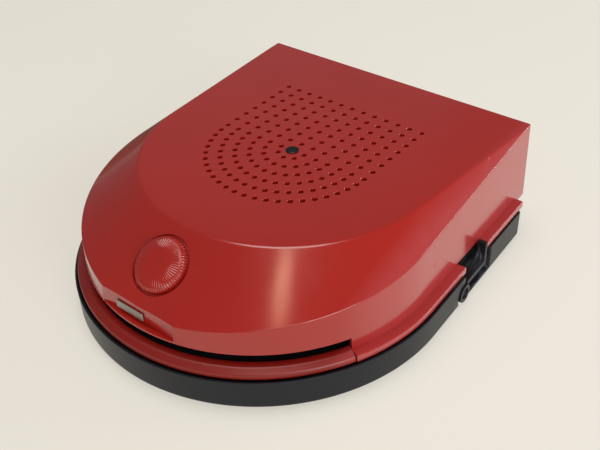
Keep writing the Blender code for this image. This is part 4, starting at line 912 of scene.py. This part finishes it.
def make_cover():
    body = case_shell()
    for sign in (1, -1):
        combine(body, flange(sign), operation="UNION")

    reach = PLATE_HALF - WALL / 2
    backing = box((-reach, PLATE_Y - TOUCH / 2, SLOT_TOP + TOUCH), (reach, PLATE_Y + WALL, CREASE_FRONT + TOUCH))
    combine(body, keep("backing", backing), operation="UNION")
    plate_low = (-PLATE_HALF - 2 * WALL, BASE_LOW.y - WALL, SLOT_TOP + PLATE_LEDGE)
    combine(body, keep("plate", box(plate_low, (PLATE_HALF, PLATE_Y, HEIGHT - WALL))))

    stand = knob_stand()
    rim = WELL_EDGE
    well = turned(
        [
            (0, KNOB_RADIUS),
            (WELL_RADIUS + rim, KNOB_RADIUS),
            (WELL_RADIUS + rim, rim / 2),
            (WELL_RADIUS, -rim),
            (WELL_RADIUS, -WELL_DEPTH),
            (0, -WELL_DEPTH),
        ],
        WELL_SIDES,
    )
    bore = rod(SHAFT_HOLE, KNOB_RADIUS, -KNOB_RADIUS, 32)
    combine(body, keep("well", placed(well, stand)), keep("bore", placed(bore, stand)))

    lead = HOLE_EDGE
    cutter = turned(
        [
            (0, HEIGHT + WALL),
            (HOLE_RADIUS + lead, HEIGHT + WALL),
            (HOLE_RADIUS + lead, HEIGHT),
            (HOLE_RADIUS, HEIGHT - lead),
            (HOLE_RADIUS, HEIGHT - 2 * WALL),
            (0, HEIGHT - 2 * WALL),
        ],
        HOLE_SIDES,
    )
    pattern = keep("pattern", cutter)
    holes = perforations(pattern, FINISHES["red_gloss"])
    bpy.data.objects.remove(pattern)
    combine(body, holes)
    pin = rod(RIVET_STEM + TOUCH, HEIGHT + WALL, HEIGHT - 2 * WALL, 24)
    combine(body, keep("pin", at(pin, 0, GRILLE_Y)))

    low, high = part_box("battery_door")
    gap = SEAM
    door_low = (low.x - gap, BACK_Y - 2 * WALL, low.z - gap - DOOR_DROP)
    door_high = (high.x + gap, BACK_Y + WALL, high.z + gap)
    combine(body, keep("door", box(door_low, door_high)))

    combine(body, keep("notch", placed(box(NOTCH_LOW, NOTCH_HIGH), lever_stand())))
    return finished(flatten(body), "red_gloss", "case", "top_cover")


# ---------------------------------------------------------------- base and lip


def tray_shell():
    """The base's main bowl: a rounded lower edge, upright sides and an open top."""
    shares = [i / ARC_STEPS for i in range(ARC_STEPS + 1)]
    end = BACK_Y - BASE_STEP
    rise = BASE_HIGH.z - BASE_LOW.z

    def ring(offset, level, corner):
        plan = closed_plan(BASE_RADIUS + offset, BASE_BACK_HALF + offset, ARC_Y, end + offset, shares, corner)
        return raised(plan, BASE_LOW.z + level)

    outside = rounded([(-TRAY_INSET, 0.0), (0.0, 0.0), (0.0, rise), (-WALL, rise)], SOFT_BASE, 6)
    top = rounded([(0.0, SOFT_BASE * 2), (0.0, rise), (-WALL, rise)], SOFT_EDGE, 4)
    outside = outside[:8] + top[1:]
    floor = FLOOR_TOP - BASE_LOW.z
    rings = [ring(offset, level, TRAY_CORNER) for offset, level in outside]
    rings += [ring(-offset, floor, ROOM_CORNER) for offset in (WALL, TRAY_INSET)]
    return keep("tray", loft(rings))


def make_base():
    body = tray_shell()
    tail_y = BASE_HIGH.y
    tail = keep("tail", box((-BASE_TAIL_HALF, 0.0, BASE_LOW.z), (BASE_TAIL_HALF, tail_y, BASE_HIGH.z)))
    soften(tail, TAIL_EDGE)
    combine(body, tail, operation="UNION")
    half = BASE_TAIL_HALF - WALL
    room = box((-half, -4 * WALL, FLOOR_TOP + 10 * WELD), (half, tail_y - WALL, BASE_HIGH.z + WALL))
    combine(body, keep("room", room))

    stand = lever_stand()
    low = BASE_LOW.z - LEVER_HEIGHT
    high = BASE_HIGH.z - LEVER_HEIGHT
    deep, ahead, skin, past = POCKET_BLOCK
    thick = box((-deep, -ahead, low + skin), (-skin, LEVER_REACH + past, high - TOUCH))
    combine(body, keep("thick", placed(thick, stand)), operation="UNION")
    channel = box((POCKET_DEPTH, 0.0, -CHANNEL_MARGIN), (WALL, LEVER_REACH + CHANNEL_MARGIN, high + WALL))
    pocket = rod(POCKET_RADIUS, WALL, POCKET_DEPTH - skin / 2, 48)
    axle = rod(AXLE_HOLE, WALL, -2 * ahead, 24)
    combine(
        body,
        keep("channel", placed(channel, stand)),
        keep("pocket", placed(along(pocket, (1, 0, 0)), stand)),
        keep("axle", placed(along(axle, (1, 0, 0)), stand)),
    )
    for node in SCREWS:
        spot = middle(node)
        post = rod(POST_RADIUS, BASE_HIGH.z, BASE_LOW.z + skin, 32)
        combine(body, keep("post", at(post, spot.x, spot.y)), operation="UNION")
        bore = turned(
            [
                (0, BASE_HIGH.z + WALL),
                (PILOT_RADIUS, BASE_HIGH.z + WALL),
                (PILOT_RADIUS, SCREW_SEAT),
                (SCREW_WELL, SCREW_SEAT),
                (SCREW_WELL, BASE_LOW.z + TOUCH),
                (SCREW_WELL + TOUCH, BASE_LOW.z - TOUCH),
                (0, BASE_LOW.z - TOUCH),
            ],
            32,
        )
        combine(body, keep("bore", at(bore, spot.x, spot.y)))
    spot = middle("dc_socket")
    hole = along(rod(SOCKET_HOLE, 2 * WALL, -2 * WALL, 40), (0, 1, 0))
    combine(body, keep("socket_hole", at(hole, spot.x, tail_y, spot.z)))
    return finished(flatten(body), "black_plastic", "case", "base_shell")


def make_lip():
    """The lip under the slot. Its crown falls away to the outside, and its ends leave a fine seam."""
    start = slot_share() + LIP_SEAM
    shares = [start + (1 - 2 * start) * i / ARC_STEPS for i in range(ARC_STEPS + 1)]
    inner = WALL_RADIUS - WALL - FLANGE_RADIUS
    section = rounded(
        [
            (inner, FLANGE_BOTTOM),
            (-LIP_INSET, FLANGE_BOTTOM),
            (-LIP_INSET, LIP_TOP - LIP_FALL),
            (inner + WALL + LIP_CROWN, LIP_TOP),
            (inner, LIP_TOP),
        ],
        LIP_EDGE,
        5,
        loop=True,
    )
    touch = side_line(WALL_RADIUS, WALL_BACK_HALF, ARC_Y)[1]
    sweep = math.pi + 2 * touch
    rings = []
    for offset, level in section:
        radius = FLANGE_RADIUS + offset
        ring = []
        for share in shares:
            angle = touch - sweep * share
            ring.append(Vector((radius * math.cos(angle), ARC_Y + radius * math.sin(angle), level)))
        rings.append(ring)
    rings.append(rings[0])
    lip = keep("slot_lip", closed_strip(rings))
    return finished(flatten(lip), "red_gloss", "case", "front_lip", finish=LIP_STYRENE)


# ---------------------------------------------------------------- knob, badge and rivet


def make_knob():
    """A low dome with a dished middle. Fine ribs run out from it and notch the rim."""
    profile = rounded(
        [
            (0, 0.0047),
            (0.0038, 0.0050),
            (0.0080, 0.0046),
            (KNOB_RADIUS - 0.0018, 0.0034),
            (KNOB_RADIUS, 0.0015),
            (KNOB_RADIUS, KNOB_UNDER),
        ],
        0.0016,
        5,
    )
    steps = KNOB_RIBS * RIB_STEPS
    rings = []
    for radius, height in profile + KNOB_SOCKET:
        ring = []
        outer = (radius, height) in profile
        cut = min(1.0, max(0.0, (radius - RIB_START) / RIB_FADE)) if outer else 0.0
        for i in range(steps):
            angle = 2 * math.pi * i / steps
            wave = abs(2 * (i % RIB_STEPS) / RIB_STEPS - 1)
            groove = cut * RIB_DEPTH * (0.5 - 0.5 * math.cos(math.pi * wave))
            reach = radius - groove * (0.9 if radius > KNOB_RADIUS - 0.0012 else 0.0)
            ring.append((reach * math.cos(angle), reach * math.sin(angle), height - groove * (height > 0)))
        rings.append(ring)
    mesh = loft(rings, caps=False)
    knob = keep("knob", placed(mesh, knob_stand()), 50)
    return finished(flatten(knob, 50), "red_gloss", "knob", "volume_knob")


def make_badge():
    """A blank raised bar with soft ends on a thin plate."""
    low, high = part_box("nameplate")
    plate = keep("badge", box(low, high))
    soften(plate, BADGE_EDGE)
    return finished(plate, "aluminium", "case", "nameplate", finish=BADGE)


def make_rivet():
    low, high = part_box("grille_rivet")
    radius = (high.x - low.x) / 2
    head = rounded(
        [
            (0, high.z),
            (radius * 0.72, high.z),
            (radius, HEIGHT + TOUCH),
            (RIVET_STEM, HEIGHT + TOUCH),
            (RIVET_STEM, low.z),
            (0, low.z),
        ],
        RIVET_EDGE,
        5,
    )
    rivet = keep("rivet", at(turned(head, 48), 0, GRILLE_Y))
    return finished(flatten(rivet), "black_plastic", "case", "grille_rivet")


# ---------------------------------------------------------------- lever


def make_lever():
    """The lever: a ring-shaped boss, a flat arm, an upright tab and the web behind it."""
    outer, inner, top = LEVER_OUTER, LEVER_INNER, LEVER_TOP
    boss = turned(
        rounded(
            [
                (0.0018, inner - 0.0014),
                (BOSS_RADIUS, inner - 0.0014),
                (BOSS_RADIUS, outer + 0.0008),
                (0.0034, outer + 0.0008),
                (0.0030, outer - 0.0010),
                (0.0018, outer - 0.0010),
            ],
            BOSS_EDGE,
            3,
            loop=True,
        ),
        56,
    )
    lever = keep("lever", along(boss, (1, 0, 0)))
    arm = keep("arm", box((inner, BOSS_RADIUS * BAR_START, top - LEVER_BAR), (outer, LEVER_ARM, top)))
    tab_low = (inner, LEVER_ARM - TAB_THICKNESS, top - LEVER_BAR)
    tab = keep("tab", box(tab_low, (outer, LEVER_ARM, top + TAB_HEIGHT)))
    near, far = (LEVER_ARM - run for run in WEB_RUN)
    triangle = [(near, top - SOFT_EDGE), (far, top - SOFT_EDGE), (near, top + WEB_RISE)]
    web = keep("web", loft([[(inner + x, y, z) for y, z in triangle] for x in WEB_SPAN]))
    for part in (arm, tab):
        soften(part, LEVER_EDGE)
    combine(lever, arm, tab, web, operation="UNION")
    lever.data.transform(lever_stand())
    return finished(flatten(lever), "black_plastic", "eject_lever", "eject_lever")


def make_lever_pin():
    face = 2 * LEVER_OUTER
    neck = face - 0.0005
    profile = rounded(
        [(0, face), (PIN_HEAD, face), (PIN_HEAD, neck), (PIN_RADIUS, neck), (PIN_RADIUS, PIN_END), (0, PIN_END)],
        0.0002,
        3,
    )
    pin = keep("boss_pin", placed(along(turned(profile, 40), (1, 0, 0)), lever_stand()))
    return finished(flatten(pin), "zinc_steel", "eject_lever", "lever_pin", finish=FINISHES["black_plastic"])


# ---------------------------------------------------------------- underside and back


def make_screws():
    """Pan-head screws with a crossed recess, set deep in the base."""
    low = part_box(SCREWS[0])[0]
    head = [(0, SCREW_RISE), (SCREW_HEAD, SCREW_RISE), (SCREW_HEAD, 0.0), (0, -SOFT_EDGE)]
    head = turned(rounded(head, SCREW_RISE / 2, 5), 40)
    pattern = keep("screw", head)
    shank = [
        (0, SCREW_LENGTH),
        (0.0007, SCREW_LENGTH - 0.0005),
        (SCREW_RADIUS, SCREW_LENGTH - 0.0015),
        (SCREW_RADIUS, 0.0010),
        (0, 0.0010),
    ]
    combine(pattern, keep("shank", turned(shank, 24)), operation="UNION")
    long, wide, under, over = RECESS
    for turn in (0, 90):
        bar = box((-long, -wide, -under), (long, wide, over))
        combine(pattern, keep("bar", placed(bar, Matrix.Rotation(math.radians(turn), 4, "Z"))))
    flatten(pattern)
    points = [(middle(node).x, middle(node).y, low.z + SOFT_EDGE) for node in SCREWS]
    screws = copies("screws", pattern, points, FINISHES["zinc_steel"])
    return finished(screws, "zinc_steel", "case", *SCREWS)


def make_feet():
    low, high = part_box(FEET[0])
    radius = (high.x - low.x) / 2
    profile = rounded(
        [
            (0, high.z),
            (radius, high.z),
            (radius, FOOT_EDGE),
            (radius - FOOT_EDGE, 0),
            (radius * 0.5, 0),
            (radius * 0.42, 0.0005),
            (0, 0.0005),
        ],
        0.0005,
        4,
    )
    pattern = flatten(keep("foot", turned(profile, 48)))
    feet = copies("feet", pattern, [(middle(node).x, middle(node).y, 0.0) for node in FEET], FINISHES["black_rubber"])
    return finished(feet, "black_rubber", "case", *FEET)


def make_door():
    """The battery door: a flat panel with a finger scoop by its top edge. Its grip ribs are made by make_grip."""
    low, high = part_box("battery_door")
    door = keep("door_panel", box(low, high))
    centre = (low.x + high.x) / 2
    half = SCOOP_RADIUS
    scoop = placed(rod(half, SCOOP_LENGTH, -SCOOP_LENGTH, 64), Matrix.Rotation(math.pi / 2, 4, "Y"))
    narrow = keep("scoop", at(scoop, centre, high.y + SCOOP_OUT, high.z - SCOOP_DROP))
    limit = keep("limit", box((centre - half, low.y, low.z), (centre + half, high.y + SCOOP_LENGTH, high.z)))
    combine(narrow, limit, operation="INTERSECT")
    combine(door, narrow)
    soften(door, 0.0003, 2)
    return finished(door, "red_gloss", "battery_door", "battery_door")


def make_grip():
    """Short ribs in the door's scoop."""
    low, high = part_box("battery_door")
    centre = (low.x + high.x) / 2
    rib = keep("rib", box((-RIB_HALF, -0.0004, -0.00025), (RIB_HALF, 0.0003, 0.00025)))
    soften(rib, 0.00012, 2)
    points = [(centre, high.y - 0.0005, high.z - RIB_DROP + RIB_PITCH * i) for i in range(5)]
    ribs = copies("grip_ribs", rib, points, FINISHES["red_gloss"])
    return finished(ribs, "red_gloss", "battery_door")


def make_socket():
    spot = middle("dc_socket")
    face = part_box("dc_socket")[1].y
    seat = -(WALL + TOUCH)
    body = turned(
        rounded(
            [
                (SOCKET_BORE, 0),
                (SOCKET_RADIUS, 0),
                (SOCKET_RADIUS, seat),
                (SOCKET_FLANGE, seat),
                (SOCKET_FLANGE, seat - 0.0010),
                (SOCKET_RADIUS, seat - 0.0010),
                (SOCKET_RADIUS, SOCKET_END),
                (SOCKET_BORE, SOCKET_END),
            ],
            SOCKET_EDGE,
            2,
            loop=True,
        ),
        48,
    )
    sleeve = keep("power_socket", at(along(body, (0, 1, 0)), spot.x, face, spot.z))
    finished(flatten(sleeve), "black_plastic", "case", "dc_socket")
    end = SOCKET_END + SOCKET_EDGE
    tip = turned(rounded([(0, -0.0010), (0.0006, -0.0010), (0.0006, end), (0, end)], 0.0003, 3), 20)
    contact = keep("power_pin", at(along(tip, (0, 1, 0)), spot.x, face, spot.z))
    return finished(flatten(contact), "brass", "case")


def make_springs():
    """A conical spring on each battery contact."""
    for side, node in ((1, "battery_contact_left"), (-1, "battery_contact_right")):
        low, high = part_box(node)
        face = high.x if side > 0 else low.x
        for k, level in enumerate((-SPRING_LEVEL, SPRING_LEVEL)):
            name = f"{node.rsplit('_', 1)[1]}_spring_{k + 1}"
            spring = coil(name, finish=FINISHES["zinc_steel"], **SPRING)
            spring.data.transform(Matrix.Rotation(math.copysign(math.pi / 2, side), 4, "Y"))
            place = (face + side * 0.0002, (low.y + high.y) / 2, (low.z + high.z) / 2 + level)
            spring.data.transform(Matrix.Translation(place))
            finished(spring, "zinc_steel", "case")


# ---------------------------------------------------------------- stage


def make_stage():
    """A pale floor, and a dim card behind the left side that only reflections see."""
    corners = [(x, y, 0.0) for x, y in ((-6, -6), (6, -6), (6, 6), (-6, 6))]
    floor = keep("floor", loft([corners, [(0, 0, -0.01)] * 4]))
    pale = Finish(
        "pale_floor",
        Base_Color=(0.40, 0.38, 0.34, 1),
        Roughness=0.9,
        Specular_IOR_Level=0.0,
        Emission_Color=(0.80, 0.76, 0.67, 1),
        Emission_Strength=0.60,
    )
    floor.data.materials.append(pale.material)

    card = keep("dim_card", box((-1.60, -0.60, 0.0010), (-0.13, 1.40, 0.0020)))
    card.data.materials.append(Finish("dim_card", Base_Color=(0.16, 0.10, 0.07, 1)).material)
    card.visible_camera = card.visible_diffuse = card.visible_shadow = False

    world = bpy.data.worlds.new("studio")
    world.use_nodes = True
    sky = world.node_tree.nodes["Background"].inputs
    sky["Color"].default_value = (0.95, 0.97, 1.0, 1)
    sky["Strength"].default_value = 0.19
    bpy.context.scene.world = world
    bpy.context.scene.view_settings.view_transform = "Standard"


def lamp(name, azimuth, elevation, distance, size, power, colour, aim=(0.0, 0.0, 0.04), height=None):
    data = bpy.data.lights.new(name, "AREA")
    data.shape = "RECTANGLE" if height else "DISK"
    data.size = size
    data.size_y = height or size
    data.energy = power
    data.color = colour
    made = link(name, data)
    turn, lift = math.radians(azimuth), math.radians(elevation)
    away = Vector((math.sin(turn) * math.cos(lift), math.cos(turn) * math.cos(lift), math.sin(lift)))
    made.location = Vector(aim) + away * distance
    made.rotation_euler = away.to_track_quat("Z", "Y").to_euler()


def make_camera():
    data = bpy.data.cameras.new("camera")
    data.sensor_width = CAMERA_SENSOR
    data.lens = CAMERA_LENS
    made = link("camera", data)
    place = Vector(CAMERA_PLACE)
    turn = (Vector(CAMERA_AIM) - place).to_track_quat("-Z", "Y").to_matrix().to_4x4()
    made.matrix_world = Matrix.Translation(place) @ turn @ Matrix.Rotation(math.radians(CAMERA_ROLL), 4, "Z")
    bpy.context.scene.camera = made


make_camera()
make_stage()
lamp("ceiling_lamp", 163, 75, 1.30, 0.14, 0.46, (1.0, 0.62, 0.42), (0.058, -0.064, 0.058))
lamp("window", 36, 18, 1.50, 0.90, 7.5, (0.86, 0.92, 1.0), height=0.28)
lamp("side_fill", 112, 22, 1.50, 0.80, 9.5, (0.92, 0.95, 1.0))
lamp("far_wall", -42, 24, 1.70, 1.00, 0.15, (0.85, 0.92, 1.0))
lamp("front_fill", 142, 44, 1.60, 0.80, 4.0, (1.0, 0.95, 0.90))
lamp("overhead", -75, 84, 1.60, 0.90, 9.0, (1.0, 0.98, 0.95))

make_cover()
make_base()
make_lip()
make_knob()
make_badge()
make_rivet()
make_lever()
make_lever_pin()
make_screws()
make_feet()
make_door()
make_grip()
make_socket()
make_springs()

for entry in frame["record"]["subparts"]:
    node = frame["nodes"][entry["node"]]
    node.material_slots[0].material = FINISHES[entry["material_slot"]]
